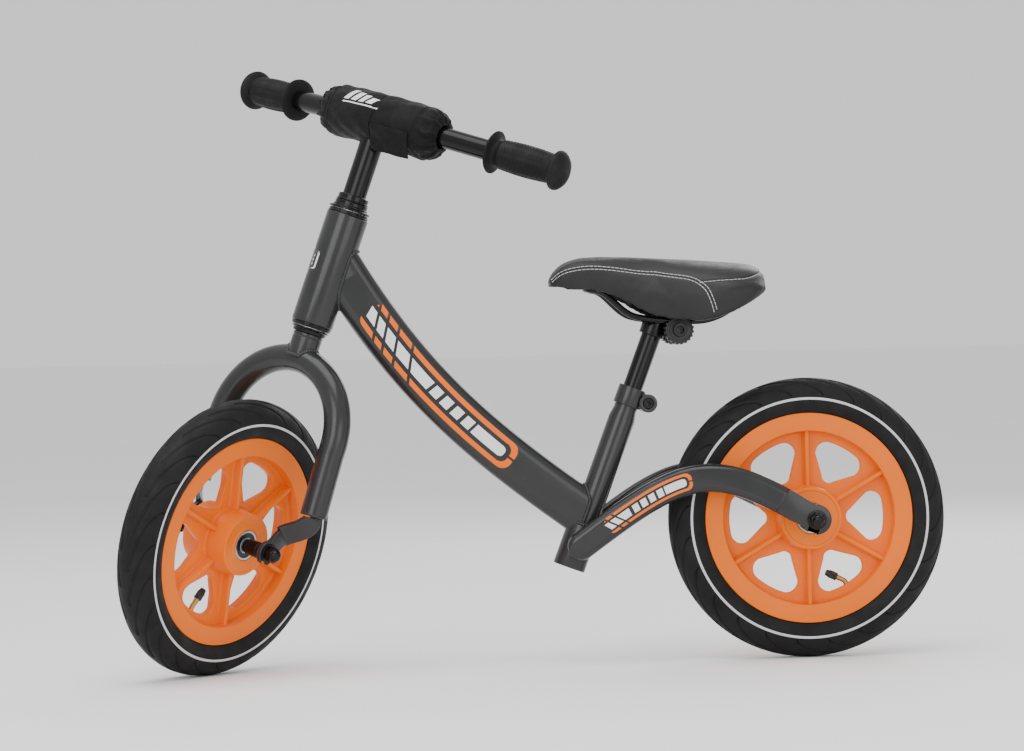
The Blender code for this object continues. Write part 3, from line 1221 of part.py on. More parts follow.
def build():
    clear_scene()
    base = pivot("bike", location=(REAR_AXLE_X, CENTRE_PLANE_Y, 0))
    head_axis = pivot("head_axis", base, steering_foot(), (("Y", -HEAD_LEAN),))
    fork = pivot("fork_pivot", base, steering_foot(), (("Y", -HEAD_LEAN), ("Z", STEER_AT_REST)))
    seat_axis = pivot("seat_axis", base, seat_foot(), (("Y", -SEAT_LEAN),))
    rear_hub = pivot("rear_hub", base, (0, 0, WHEEL_RADIUS))
    rear_wheel = pivot("rear_wheel_pivot", rear_hub, turns=(("Y", REAR_WHEEL_TURN),))
    front_hub = pivot("front_hub", fork, (FORK_OFFSET, 0, 0))
    front_wheel = pivot("front_wheel_pivot", front_hub, turns=(("Y", FRONT_WHEEL_TURN),))
    bar = pivot("bar_pivot", fork, (0, 0, BAR_HEIGHT))
    post = pivot("post_pivot", seat_axis, (0, 0, SEAT_TUBE_LENGTH))
    tilt = pivot("tilt_pivot", post, (-TILT_SET_BACK, 0, TILT_HEIGHT), (("Y", SEAT_LEAN),))

    head_tube(head_axis)
    headset_cups(head_axis)
    main_tube(base, head_axis, seat_axis)
    seat_tube(seat_axis)
    seat_collar(seat_axis)
    for side, word in ((1, "left"), (-1, "right")):
        chainstay(side, "chainstay_" + word, base, seat_axis)
        rear_dropout(side, "rear_dropout_" + word, rear_hub)
        fork_dropout(side, "fork_dropout_" + word, fork)
        grip(side, "grip_" + word, bar)
        rail_clamp(side, "rail_clamp_" + word, tilt)
    wheel("rear", rear_wheel, REAR_VALVE_LEAN)
    wheel("front", front_wheel, FRONT_VALVE_LEAN)
    axle_set("rear", rear_hub)
    axle_set("front", front_hub)
    fork_arch(fork)
    steerer(fork)
    headset_moving(fork)
    handlebar_tube(bar)
    stem_tube(bar)
    bar_pad(bar)
    seat_post(post)
    saddle_clamp(post)
    clamp_bolt(tilt)
    saddle_rails(tilt)
    saddle_shell(tilt)
    saddle_cover(tilt)


build()
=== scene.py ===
"""Looks of the balance bike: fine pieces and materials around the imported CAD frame.

Metres, +X forward, +Y to the rider's left, +Z up, as in the frame. The sizes are the CAD's own.
"""

import json
import math

import bmesh
import bpy
import numpy as np
from mathutils import Matrix, Vector
from mathutils.bvhtree import BVHTree


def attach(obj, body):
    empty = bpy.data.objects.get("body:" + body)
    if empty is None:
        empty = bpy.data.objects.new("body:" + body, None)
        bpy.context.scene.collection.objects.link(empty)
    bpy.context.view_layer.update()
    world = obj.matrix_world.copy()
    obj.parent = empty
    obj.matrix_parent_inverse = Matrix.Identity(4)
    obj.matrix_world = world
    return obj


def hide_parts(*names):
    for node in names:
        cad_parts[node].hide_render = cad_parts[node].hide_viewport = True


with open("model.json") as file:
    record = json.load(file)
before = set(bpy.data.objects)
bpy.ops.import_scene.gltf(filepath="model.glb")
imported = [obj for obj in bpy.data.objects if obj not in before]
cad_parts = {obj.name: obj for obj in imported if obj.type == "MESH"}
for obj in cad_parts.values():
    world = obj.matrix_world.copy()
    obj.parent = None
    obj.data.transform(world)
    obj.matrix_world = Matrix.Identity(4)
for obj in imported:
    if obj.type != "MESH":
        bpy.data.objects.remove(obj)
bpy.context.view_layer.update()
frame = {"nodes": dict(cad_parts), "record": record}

# ---------------------------------------------------------------- sizes shared with the CAD
TOUCH_GAP = 0.0003
RUN_GAP = 0.0004
REAR_AXLE_X = -0.2944
CENTRE_PLANE_Y = 0.0283
WHEELBASE = 0.632
WHEEL_RADIUS = 0.150
HEAD_LEAN = 19.6
FORK_OFFSET = 0.025
STEER_AT_REST = 47.4
TYRE_WIDTH = 0.0460
RIM_WIDTH = 0.0360
RIM_LIP = 0.0040
RIM_RADIUS = 0.1126
BEAD_SEAT_RADIUS = 0.1015
RIM_RING_INNER = 0.0920
WINDOW_MARGIN = 0.0080
WINDOW_OUTER = 0.0840
WINDOW_CORNER = 0.0120
WEB_THICKNESS = 0.0080
SPOKES = 6
SPOKE_WIDTH = 0.0220
RIB_THICKNESS = 0.0050
RIB_DEPTH = 0.0280
HUB_RADIUS = 0.0350
HUB_WIDTH = 0.0610
BEARING_OD = 0.0320
BEARING_BORE = 0.0120
BEARING_WIDTH = 0.0100
FRONT_WHEEL_TURN = -41.7
VALVE_POSITION = 210.0
VALVE_STEM_RADIUS = 0.0030
VALVE_FREE_LENGTH = 0.0190
VALVE_BEND = WINDOW_OUTER - 0.0040
VALVE_CAP_LENGTH = 0.0130
VALVE_CAP_END = 0.0030
AXLE_RADIUS = 0.0048
CONE_RADIUS = 0.0085
DROPOUT_INNER = 0.0570
DROPOUT_THICKNESS = 0.0050
WASHER_RADIUS = 0.0105
NUT_ACROSS_FLATS = 0.0150
STEERER_OD = 0.0286
STEERER_TOP = 0.0222
STEERER_COLLAR_RADIUS = 0.0160
HEAD_TUBE_RADIUS = 0.0224
CUP_FLANGE_RADIUS = 0.0212
CUP_FLANGE_HEIGHT = 0.0042
CROWN_RACE_HEIGHT = 0.0070
RACE_RADIUS = 0.0176
RACE_SKIRT_RADIUS = 0.0220
LOCK_NUT_RADIUS = 0.0164
FORK_TUBE_RADIUS = 0.0143
FORK_ARCH_RADIUS = 0.0800
FORK_ARCH_CENTRE = 0.1235
FORK_ARCH_TOP = 0.2178
FORK_BLADE_END = 0.0520
FORK_BLADE_SPLAY = 3.5
FORK_ARM_ANGLE = 128.0
FORK_ARM_LENGTH = 0.0300
FORK_ARM_WIDTH = 0.0200
FORK_DROPOUT_RADIUS = 0.0130
HEAD_TUBE_BOTTOM = 0.2430
HEAD_TUBE_TOP = 0.3640
SEAT_POST_RADIUS = 0.0105
SEAT_LEAN = 21.0
SEAT_FOOT_X = 0.2585
SEAT_FOOT_Z = 0.1032
SEAT_NECK_RADIUS = 0.0124
SEAT_TUBE_RADIUS = 0.0143
SEAT_TUBE_LENGTH = 0.2040
SEAT_FOOT_RADIUS = 0.0175
SEAT_FOOT_LENGTH = 0.0470
SEAT_COLLAR_HEIGHT = 0.0205
SEAT_COLLAR_RADIUS = 0.0148
LUG_RADIUS = 0.0098
LUG_SET_BACK = 0.0200
LUG_WIDTH = 0.0260
LUG_HEAD_RADIUS = 0.0055
MAIN_TUBE_DEPTH = 0.0500
MAIN_TUBE_WIDTH = 0.0330
MAIN_TUBE_SEAT_WIDTH = 0.0271
MAIN_TUBE_HEAD = 0.3170
STAY_DEPTH = 0.0300
STAY_WIDTH = 0.0180
STAY_FRONT_Y = 0.0220
STAY_REAR_Y = 0.0520
STAY_REAR = (0.0360, 0.0215)
REAR_DROPOUT_RADIUS = 0.0160
REAR_DROPOUT_ARM_WIDTH = 0.0270
STEM_RADIUS = 0.0127
BAR_HEIGHT = 0.4720
BAR_RADIUS = 0.0111
BAR_HALF_LENGTH = 0.2200
BAR_SWEEP = 11.1
BAR_BEND_RADIUS = 0.0500
GRIP_END = 0.2255
GRIP_START = 0.1390
GRIP_NECK_RADIUS = 0.0140
GRIP_RADIUS = 0.0160
GRIP_FLANGE_RADIUS = 0.0228
GRIP_CAP_RADIUS = 0.0212
PAD_LENGTH = 0.1640
PAD_RADIUS = 0.0300
PAD_END_RADIUS = 0.0190
PAD_BORE = 0.0123
SADDLE_WIDTH = 0.1440
SADDLE_NOSE_WIDTH = 0.0500
SADDLE_RECESS = 0.72
SADDLE_SHELL_THICKNESS = 0.0040
RAIL_RADIUS = 0.0034
RAIL_SPACING = 0.0440
TILT_SET_BACK = 0.0228
TILT_HEIGHT = 0.0740
SEAT_POST_TOP = 0.0785
CLAMP_DISC_RADIUS = 0.0160
CLAMP_DISC_OUTER = 0.0290
CLAMP_EAR_HALF_WIDTH = 0.0140
CLAMP_EAR_RADIUS = 0.0115
CLAMP_HEAD_RADIUS = 0.0078
CLAMP_HEAD_HEIGHT = 0.0052

# ---------------------------------------------------------------- sizes of the fine detail
STRIPE_HALF_WIDTH = 0.0013
GROOVE_DEPTH = 0.0013
GROOVE_HALF_WIDTH = 0.0011
GROOVES = 24
STITCH_LENGTH = 0.0034
STITCH_GAP = 0.0012
STITCH_RADIUS = 0.00042
DECAL_LIFT = 0.00012

# ---------------------------------------------------------------- the CAD's axes


def turned(axis, degrees):
    return Matrix.Rotation(math.radians(degrees), 4, axis)


def moved(x, y, z):
    return Matrix.Translation((x, y, z))


def leaning(degrees):
    return Vector((-math.sin(math.radians(degrees)), 0, math.cos(math.radians(degrees))))


def steering_foot():
    lean = math.radians(HEAD_LEAN)
    turn = math.radians(STEER_AT_REST)
    tube = TYRE_WIDTH / 2
    axle_height = (WHEEL_RADIUS - tube) * math.cos(math.asin(math.sin(lean) * math.sin(turn))) + tube
    height = axle_height - FORK_OFFSET * math.sin(lean) * math.cos(turn)
    return Vector((WHEELBASE - math.cos(lean) * FORK_OFFSET, 0, height))


BASE = moved(REAR_AXLE_X, CENTRE_PLANE_Y, 0)
HEAD = BASE @ Matrix.Translation(steering_foot()) @ turned("Y", -HEAD_LEAN)
FORK = HEAD @ turned("Z", STEER_AT_REST)
SEAT = BASE @ moved(SEAT_FOOT_X, 0, SEAT_FOOT_Z) @ turned("Y", -SEAT_LEAN)
REAR_HUB = BASE @ moved(0, 0, WHEEL_RADIUS)
FRONT_HUB = FORK @ moved(FORK_OFFSET, 0, 0)
FRONT_WHEEL = FRONT_HUB @ turned("Y", FRONT_WHEEL_TURN)
BAR = FORK @ moved(0, 0, BAR_HEIGHT)
POST = SEAT @ moved(0, 0, SEAT_TUBE_LENGTH)
TILT = POST @ moved(-TILT_SET_BACK, 0, TILT_HEIGHT) @ turned("Y", SEAT_LEAN)
ALONG_Y = turned("X", -90)


# ---------------------------------------------------------------- materials
class Surface:
    """A Principled material whose colour, gloss and relief come from procedural nodes."""

    def __init__(self, name, metallic=0.0, coat=0.0, sheen=0.0, specular=0.5):
        self.material = bpy.data.materials.new(name)
        self.material.use_nodes = True
        self.tree = self.material.node_tree
        self.shader = self.tree.nodes["Principled BSDF"]
        self.shader.inputs["Metallic"].default_value = metallic
        self.shader.inputs["Coat Weight"].default_value = coat
        self.shader.inputs["Coat Roughness"].default_value = 0.08
        self.shader.inputs["Sheen Weight"].default_value = sheen
        self.shader.inputs["Specular IOR Level"].default_value = specular
        self.place = self.node("ShaderNodeTexCoord").outputs["Object"]

    def node(self, kind, links=None, **settings):
        made = self.tree.nodes.new(kind)
        for key, value in settings.items():
            setattr(made, key, value)
        for key, value in (links or {}).items():
            if isinstance(value, bpy.types.NodeSocket):
                self.tree.links.new(value, made.inputs[key])
            else:
                made.inputs[key].default_value = value
        return made

    def noise(self, scale, detail=3.0, stretch=None):
        place = self.place
        if stretch:
            place = self.node("ShaderNodeMapping", {"Vector": place, "Scale": stretch}).outputs[0]
        return self.node("ShaderNodeTexNoise", {"Vector": place, "Scale": scale, "Detail": detail}).outputs[0]

    def math(self, operation, first, second=0.0):
        return self.node("ShaderNodeMath", {0: first, 1: second}, operation=operation).outputs[0]

    def colours(self, factor, stops):
        ramp = self.node("ShaderNodeValToRGB", {"Fac": factor})
        elements = ramp.color_ramp.elements
        while len(elements) < len(stops):
            elements.new(0.5)
        for element, (position, colour) in zip(elements, stops):
            element.position = position
            element.color = (*colour, 1.0)
        self.tree.links.new(ramp.outputs["Color"], self.shader.inputs["Base Color"])

    def gloss(self, factor, low, high):
        mapped = self.node("ShaderNodeMapRange", {"Value": factor, "From Min": 0.3, "From Max": 0.7,
                                                  "To Min": low, "To Max": high})
        self.tree.links.new(mapped.outputs[0], self.shader.inputs["Roughness"])

    def relief(self, height, distance, strength=1.0):
        bump = self.node("ShaderNodeBump", {"Height": height, "Distance": distance, "Strength": strength})
        previous = self.shader.inputs["Normal"].links
        if previous:
            self.tree.links.new(previous[0].from_socket, bump.inputs["Normal"])
        self.tree.links.new(bump.outputs[0], self.shader.inputs["Normal"])


def shades(colour, spread):
    """A darker and a lighter version of a colour."""
    return tuple(c * (1 - spread) for c in colour), tuple(min(c * (1 + spread), 1.0) for c in colour)


def plain_surface(name, colour, spread, mottle, gloss, grain, depth, **kind):
    """Colour that drifts over mottle-sized patches, uneven gloss and a fine grain."""
    made = Surface(name, **kind)
    dark, light = shades(colour, spread)
    made.colours(made.noise(mottle, 4.0), [(0.3, dark), (0.7, light)])
    made.gloss(made.noise(mottle * 3.0, 5.0), *gloss)
    made.relief(made.noise(grain, 2.0), depth)
    return made


def painted_surface():
    """Gloss enamel with orange peel and a faint metallic fleck."""
    made = plain_surface("painted_steel", (0.0200, 0.0203, 0.0210), 0.10, 14.0, (0.18, 0.28), 260.0, 0.00004,
                         coat=0.12, specular=0.30)
    made.relief(made.noise(2600.0, 1.0), 0.00001, 0.5)
    return made.material


def orange_surface():
    """Moulded plastic: warm flow marks and a satin skin."""
    made = plain_surface("orange_plastic", (0.80, 0.150, 0.0), 0.05, 9.0, (0.32, 0.46), 900.0, 0.00003,
                         specular=0.22)
    return made.material


def rubber_surface(name, colour, grain):
    """Matt rubber with a dusty bloom on it."""
    made = plain_surface(name, colour, 0.30, 22.0, (0.52, 0.74), grain, 0.00006, specular=0.22)
    made.relief(made.noise(420.0, 3.0), 0.00008, 0.6)
    return made.material


def brushed_surface(name, colour, gloss, metallic):
    """Metal with fine turning marks."""
    made = plain_surface(name, colour, 0.12, 40.0, gloss, 1400.0, 0.00001, metallic=metallic,
                         specular=0.24)
    made.relief(made.noise(300.0, 2.0, (1.0, 1.0, 14.0)), 0.00001, 0.6)
    return made.material


def leather_surface():
    """Grained vinyl: small pebbled cells with creases between them."""
    made = Surface("saddle_skin", specular=0.30)
    cells = made.node("ShaderNodeTexVoronoi", {"Vector": made.place, "Scale": 820.0},
                      feature="DISTANCE_TO_EDGE").outputs["Distance"]
    dark, light = shades((0.0120, 0.0120, 0.0128), 0.18)
    made.colours(made.noise(26.0, 5.0), [(0.3, dark), (0.7, light)])
    made.gloss(made.noise(60.0, 4.0), 0.36, 0.50)
    made.relief(made.math("MINIMUM", cells, 0.25), 0.00030, 0.55)
    made.relief(made.noise(120.0, 3.0), 0.00012, 0.5)
    return made.material


def fabric_surface():
    """Plain weave round the bar: threads run along it and round it, with painted shade in the weave's low
    cells and painted light on its raised ones.
    """
    made = Surface("pad_fabric", sheen=0.03, specular=0.16)
    split = made.node("ShaderNodeSeparateXYZ", {0: made.place})
    along = made.math("MULTIPLY", split.outputs["Y"], 4200.0)
    angle = made.math("ARCTAN2", split.outputs["Z"], split.outputs["X"])
    around = made.math("MULTIPLY", angle, 118.0)
    weave = made.math("MULTIPLY", made.math("SINE", along), made.math("SINE", around))
    dark, light = shades((0.0040, 0.0040, 0.0043), 0.45)
    # painted shade and light: the colour follows the weave's relief, darker in its low cells and lighter on
    # its raised ones
    made.colours(made.math("ADD", made.math("MULTIPLY", weave, 0.18), made.noise(70.0, 4.0)),
                 [(0.25, dark), (0.75, light)])
    made.gloss(made.noise(150.0, 4.0), 0.55, 0.75)
    made.relief(weave, 0.00010, 0.7)
    made.relief(made.noise(90.0, 4.0), 0.0008, 0.35)
    return made.material


LOOKS = {
    "painted_steel": painted_surface(),
    "orange_plastic": orange_surface(),
    "tyre_rubber": rubber_surface("tyre_rubber", (0.0062, 0.0062, 0.0066), 1500.0),
    "grip_rubber": rubber_surface("grip_rubber", (0.0042, 0.0042, 0.0045), 1900.0),
    "black_metal": brushed_surface("black_metal", (0.0036, 0.0036, 0.0039), (0.13, 0.22), 0.0),
    "bare_steel": brushed_surface("bare_steel", (0.52, 0.52, 0.53), (0.26, 0.42), 1.0),
    "brass": brushed_surface("brass", (0.42, 0.25, 0.08), (0.28, 0.45), 1.0),
    "black_plastic": plain_surface("black_plastic", (0.0045, 0.0045, 0.0048), 0.20, 30.0, (0.36, 0.50),
                                   1300.0,
                                   0.00005).material,
    "pad_fabric": fabric_surface(),
    "saddle_skin": leather_surface(),
    "white_ink": plain_surface("white_ink", (0.74, 0.74, 0.75), 0.03, 60.0, (0.28, 0.40), 1500.0,
                               0.00001).material,
    "orange_ink": plain_surface("orange_ink", (0.80, 0.140, 0.0), 0.04, 60.0, (0.25, 0.38), 1500.0,
                                0.00001, specular=0.22).material,
    "grey_stripe": plain_surface("grey_stripe", (0.52, 0.52, 0.53), 0.05, 80.0, (0.35, 0.50), 1500.0,
                                 0.00002).material,
    "thread": plain_surface("thread", (0.50, 0.50, 0.50), 0.15, 400.0, (0.60, 0.80), 4000.0,
                            0.00005).material,
}


# ---------------------------------------------------------------- mesh helpers
def grid(points, around=True, closed=False, caps=True):
    """Surface through rows of points. around joins each row's ends, closed the last row to the first."""
    points = np.asarray(points, float)
    rows, columns = points.shape[:2]
    index = np.arange(rows * columns).reshape(rows, columns)
    if around:
        index = np.hstack([index, index[:, :1]])
    if closed:
        index = np.vstack([index, index[:1]])
    quads = np.stack([index[:-1, :-1], index[:-1, 1:], index[1:, 1:], index[1:, :-1]], -1)
    faces = quads.reshape(-1, 4).tolist()
    if around and caps and not closed:
        faces.append(index[0, :-1].tolist()[::-1])
        faces.append(index[-1, :-1].tolist())
    made = bpy.data.meshes.new("grid")
    made.from_pydata(points.reshape(-1, 3).tolist(), [], faces)
    return made


def joined(parts):
    """One mesh from several, each with a matrix or None."""
    whole = bmesh.new()
    for mesh_data, matrix in parts:
        copy = mesh_data.copy()
        if matrix is not None:
            copy.transform(matrix)
        whole.from_mesh(copy)
        bpy.data.meshes.remove(copy)
    made = bpy.data.meshes.new("joined")
    whole.to_mesh(made)
    whole.free()
    return made


def piece(name, mesh_data, look, body, nodes=(), where=None, sharp=42.0):
    """Show a mesh as a piece that rides on a body and stands for CAD nodes."""
    if where is not None:
        mesh_data.transform(where)
    tidy = bmesh.new()
    tidy.from_mesh(mesh_data)
    bmesh.ops.remove_doubles(tidy, verts=tidy.verts, dist=1e-6)
    bmesh.ops.recalc_face_normals(tidy, faces=tidy.faces)
    tidy.to_mesh(mesh_data)
    tidy.free()
    mesh_data.shade_smooth()
    mesh_data.set_sharp_from_angle(angle=math.radians(sharp))
    mesh_data.materials.append(LOOKS[look])
    shown = bpy.data.objects.new(name, mesh_data)
    bpy.context.collection.objects.link(shown)
    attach(shown, body)
    if nodes:
        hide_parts(*nodes)
    return shown


def soften(outline, radius, steps=4):
    """Round the corners of a closed outline of (x, y) points."""
    result = []
    count = len(outline)
    for i in range(count):
        here = Vector(outline[i])
        back = Vector(outline[i - 1]) - here
        ahead = Vector(outline[(i + 1) % count]) - here
        if here.x < 1e-6 or back.length < 1e-7 or ahead.length < 1e-7 or math.pi - back.angle(ahead) < 0.2:
            result.append(tuple(here))
            continue
        start = here + back.normalized() * min(radius, back.length * 0.45)
        end = here + ahead.normalized() * min(radius, ahead.length * 0.45)
        for k in range(steps + 1):
            t = k / steps
            result.append(tuple(start * (1 - t) ** 2 + here * 2 * t * (1 - t) + end * t * t))
    return result


def lathe(outline, steps=96, rounding=0.0):
    """Turn a closed outline of (radius, height) points about Z."""
    if rounding:
        outline = soften(outline, rounding)
    turn = np.linspace(0, math.tau, steps, endpoint=False)
    radius = np.array([p[0] for p in outline])[:, None]
    height = np.array([p[1] for p in outline])[:, None] * np.ones(steps)
    points = np.stack([radius * np.cos(turn), radius * np.sin(turn), height], -1)
    return grid(points, closed=True)


def arc(centre, radius, start, end, steps):
    angles = np.radians(np.linspace(start, end, steps + 1))
    return [(centre[0] + radius * math.cos(a), centre[1] + radius * math.sin(a)) for a in angles]


def rounded_box(width, depth, corner, steps=8):
    points = []
    for quarter, (sx, sy) in enumerate(((1, 1), (-1, 1), (-1, -1), (1, -1))):
        centre = (sx * (width / 2 - corner), sy * (depth / 2 - corner))
        points += arc(centre, corner, 90 * quarter, 90 * quarter + 90, steps)
    return points


def circle(radius, steps):
    return arc((0, 0), radius, 0, 360 - 360 / steps, steps - 1)


def prism(outline, bottom, top, bevel=0.0, segments=3):
    """A plate with rounded edges."""
    bm = bmesh.new()
    base = bm.faces.new([bm.verts.new((x, y, bottom)) for x, y in outline])
    raised = bmesh.ops.extrude_face_region(bm, geom=[base])["geom"]
    bmesh.ops.translate(bm, verts=[v for v in raised if isinstance(v, bmesh.types.BMVert)],
                        vec=(0, 0, top - bottom))
    bm.faces.ensure_lookup_table()
    bmesh.ops.recalc_face_normals(bm, faces=bm.faces)
    if bevel:
        rim = [e for e in bm.edges if len(e.link_faces) == 2 and e.calc_face_angle(0) > 0.9
               and abs(e.verts[0].co.z - e.verts[1].co.z) < 1e-7]
        bmesh.ops.bevel(bm, geom=rim, offset=bevel, segments=segments, affect="EDGES", profile=0.5)
    made = bpy.data.meshes.new("prism")
    bm.to_mesh(made)
    bm.free()
    return made


def bezier(start, first, second, end, count):
    points = []
    for i in range(count + 1):
        t = i / count
        s = 1 - t
        points.append(start * s ** 3 + first * 3 * s * s * t + second * 3 * s * t * t + end * t ** 3)
    return points


def resampled(points, count):
    """Catmull-Rom curve through the points, evenly spaced."""
    points = [Vector(p) for p in points]
    padded = [points[0] * 2 - points[1]] + points + [points[-1] * 2 - points[-2]]
    fine = []
    for a, b, c, d in zip(padded, padded[1:], padded[2:], padded[3:]):
        for k in range(16):
            t = k / 16
            fine.append(0.5 * (b * 2 + (c - a) * t + (a * 2 - b * 5 + c * 4 - d) * t * t
                               + (b * 3 - a - c * 3 + d) * t ** 3))
    fine.append(points[-1])
    line = np.array(fine)
    length = np.concatenate([[0], np.cumsum(np.linalg.norm(np.diff(line, axis=0), axis=1))])
    wanted = np.linspace(0, length[-1], count)
    return [Vector([np.interp(w, length, line[:, axis]) for axis in range(3)]) for w in wanted]


def frames_along(points, side):
    frames = []
    for i, point in enumerate(points):
        along = (points[min(i + 1, len(points) - 1)] - points[max(i - 1, 0)]).normalized()
        up = along.cross(side).normalized()
        frames.append((point, up.cross(along).normalized(), up))
    return frames


def carried_frames(points):
    """Frames that don't twist along a free path."""
    across = (points[1] - points[0]).orthogonal().normalized()
    frames = []
    for i, point in enumerate(points):
        along = (points[min(i + 1, len(points) - 1)] - points[max(i - 1, 0)]).normalized()
        across = (across - along * across.dot(along)).normalized()
        frames.append((point, across, along.cross(across)))
    return frames


def sweep(frames, section, scales=None):
    """Carry a section along frames. scales holds (across, up) factors for each frame."""
    rows = []
    for i, (point, across, up) in enumerate(frames):
        a_scale, b_scale = scales[i] if scales else (1.0, 1.0)
        rows.append([tuple(point + across * (a * a_scale) + up * (b * b_scale)) for a, b in section])
    return grid(rows)


def rod(points, radius, sides=16, count=None):
    """A round bar with domed ends along a free path."""
    path = resampled(points, count) if count else [Vector(p) for p in points]
    frames = carried_frames(path)
    ends = []
    for frame_end, sign in ((frames[0], -1), (frames[-1], 1)):
        point, across, up = frame_end
        along = across.cross(up)
        rows = []
        for angle in (20, 45, 70):
            c = math.cos(math.radians(angle))
            rows.append((point + along * (sign * radius * 0.6 * math.sin(math.radians(angle))), across * c,
                         up * c))
        ends.append(rows)
    rows = []
    for point, across, up in ends[0][::-1] + frames + ends[1]:
        rows.append([tuple(point + across * a + up * b) for a, b in circle(radius, sides)])
    return grid(rows)


def bead(loop, radius, closed=True, ripple=0.0026):
    """A weld bead: a rippled round bead along a line of points."""
    line = np.array([tuple(p) for p in loop])
    if closed:
        line = np.vstack([line, line[:1]])
    length = np.concatenate([[0], np.cumsum(np.linalg.norm(np.diff(line, axis=0), axis=1))])
    count = max(24, int(length[-1] / 0.0006))
    wanted = np.linspace(0, length[-1], count, endpoint=not closed)
    path = np.stack([np.interp(wanted, length, line[:, axis]) for axis in range(3)], -1)
    if closed:
        along = np.roll(path, -1, 0) - np.roll(path, 1, 0)
    else:
        along = np.gradient(path, axis=0)
    along /= np.linalg.norm(along, axis=1)[:, None]
    outward = path - path.mean(0)
    outward -= along * (outward * along).sum(1)[:, None]
    outward /= np.linalg.norm(outward, axis=1)[:, None] + 1e-12
    other = np.cross(along, outward)
    pulses = max(1, round(length[-1] / ripple))
    swell = radius * (1 + 0.16 * np.cos(math.tau * pulses * wanted / length[-1]))
    turn = np.linspace(0, math.tau, 10, endpoint=False)
    ring = (outward[:, None] * np.cos(turn)[None, :, None] + other[:, None] * np.sin(turn)[None, :, None])
    return grid(path[:, None] + ring * swell[:, None, None], closed=closed)


def cast_to_cylinder(point, direction, cylinder, radius):
    """Where a line from point along direction first meets a cylinder about cylinder's Z axis."""
    inverse = cylinder.inverted()
    start = inverse @ Vector(point)
    ray = (inverse.to_3x3() @ Vector(direction)).normalized()
    a = ray.x ** 2 + ray.y ** 2
    b = 2 * (start.x * ray.x + start.y * ray.y)
    c = start.x ** 2 + start.y ** 2 - radius ** 2
    root = b * b - 4 * a * c
    if root < 0:
        return None
    return cylinder @ (start + ray * ((-b - math.sqrt(root)) / (2 * a)))


# ---------------------------------------------------------------- wheels
def window_outline():
    half_angle = math.radians(180 / SPOKES)
    edge = SPOKE_WIDTH / 2
    corner = WINDOW_CORNER
    inner_corner = WINDOW_CORNER * 0.7
    ring = WINDOW_OUTER - corner
    swing = half_angle - math.asin((edge + corner) / ring)
    inner_centre = max((edge + inner_corner) / math.sin(half_angle),
                       HUB_RADIUS + WINDOW_MARGIN + inner_corner)
    side = math.degrees(half_angle)
    upper = (ring * math.cos(swing), ring * math.sin(swing))
    points = arc((inner_centre, 0), inner_corner, 90 + side, 270 - side, 14)
    points += arc((upper[0], -upper[1]), corner, -90 - side, -math.degrees(swing), 16)
    points += arc((0, 0), WINDOW_OUTER, -math.degrees(swing), math.degrees(swing), 16)[1:-1]
    points += arc(upper, corner, math.degrees(swing), 90 + side, 16)
    dense = []
    for a, b in zip(points, points[1:] + points[:1]):
        steps = max(1, int(math.dist(a, b) / 0.0015))
        dense += [(a[0] + (b[0] - a[0]) * k / steps, a[1] + (b[1] - a[1]) * k / steps) for k in range(steps)]
    return dense


def web_sector():
    """A sixth of the wheel's web round one window, with rounded window edges."""
    outline = np.array(window_outline())
    centre = np.array([(HUB_RADIUS + WINDOW_OUTER) / 2 + 0.004, 0.0])
    rays = outline - centre
    reach = np.linalg.norm(rays, axis=1)
    rays /= reach[:, None]
    inner, outer = HUB_RADIUS - 0.006, RIM_RING_INNER + 0.004
    half = math.radians(180 / SPOKES)
    far = np.full(len(rays), 1.0)
    for sign in (1, -1):
        normal = np.array([-math.sin(half), sign * math.cos(half)])
        speed = rays @ normal
        hit = np.where(speed > 1e-6, -(centre @ normal) / np.maximum(speed, 1e-6), 1.0)
        far = np.minimum(far, hit)
    for radius, pick in ((outer, 1), (inner, -1)):
        b = rays @ centre
        root = b * b - (centre @ centre - radius * radius)
        hit = np.where(root > 0, -b + pick * np.sqrt(np.maximum(root, 0)), 1.0)
        far = np.minimum(far, np.where(hit > 0, hit, 1.0))
    edge = 0.0016
    half_web = WEB_THICKNESS / 2
    rows = []
    profile = [(edge + 0.0004, half_web), (edge, half_web)]
    for angle in (72, 54, 36, 18, 0):
        a = math.radians(angle)
        profile.append((edge * (1 - math.cos(a)), half_web - edge + edge * math.sin(a)))
    profile += [(d, -z) for d, z in reversed(profile)]
    full = centre + rays * far[:, None]
    rows.append(np.c_[full, np.full(len(full), half_web)])
    for offset, height in profile:
        flat = outline + rays * offset
        rows.append(np.c_[flat, np.full(len(flat), height)])
    rows.append(np.c_[full, np.full(len(full), -half_web)])
    return grid(rows, caps=False)


def rib_mesh():
    """Stiffening rib along a spoke, flared where it meets the web."""
    start, end = HUB_RADIUS - 0.006, RIM_RING_INNER + 0.004
    half = RIB_THICKNESS / 2
    side = [(half + 0.0030, WEB_THICKNESS / 2 - 0.0006), (half + 0.0012, WEB_THICKNESS / 2 + 0.0008),
            (half + 0.0003, WEB_THICKNESS / 2 + 0.0026), (half - 0.0002, RIB_DEPTH / 2 - 0.0012),
            (half - 0.0006, RIB_DEPTH / 2 - 0.0004), (half - 0.0014, RIB_DEPTH / 2)]
    top = side + [(-y, z) for y, z in reversed(side)]
    section = top + [(-y, -z) for y, z in top]
    return grid([[(x, y, z) for y, z in section] for x in np.linspace(start, end, 6)])


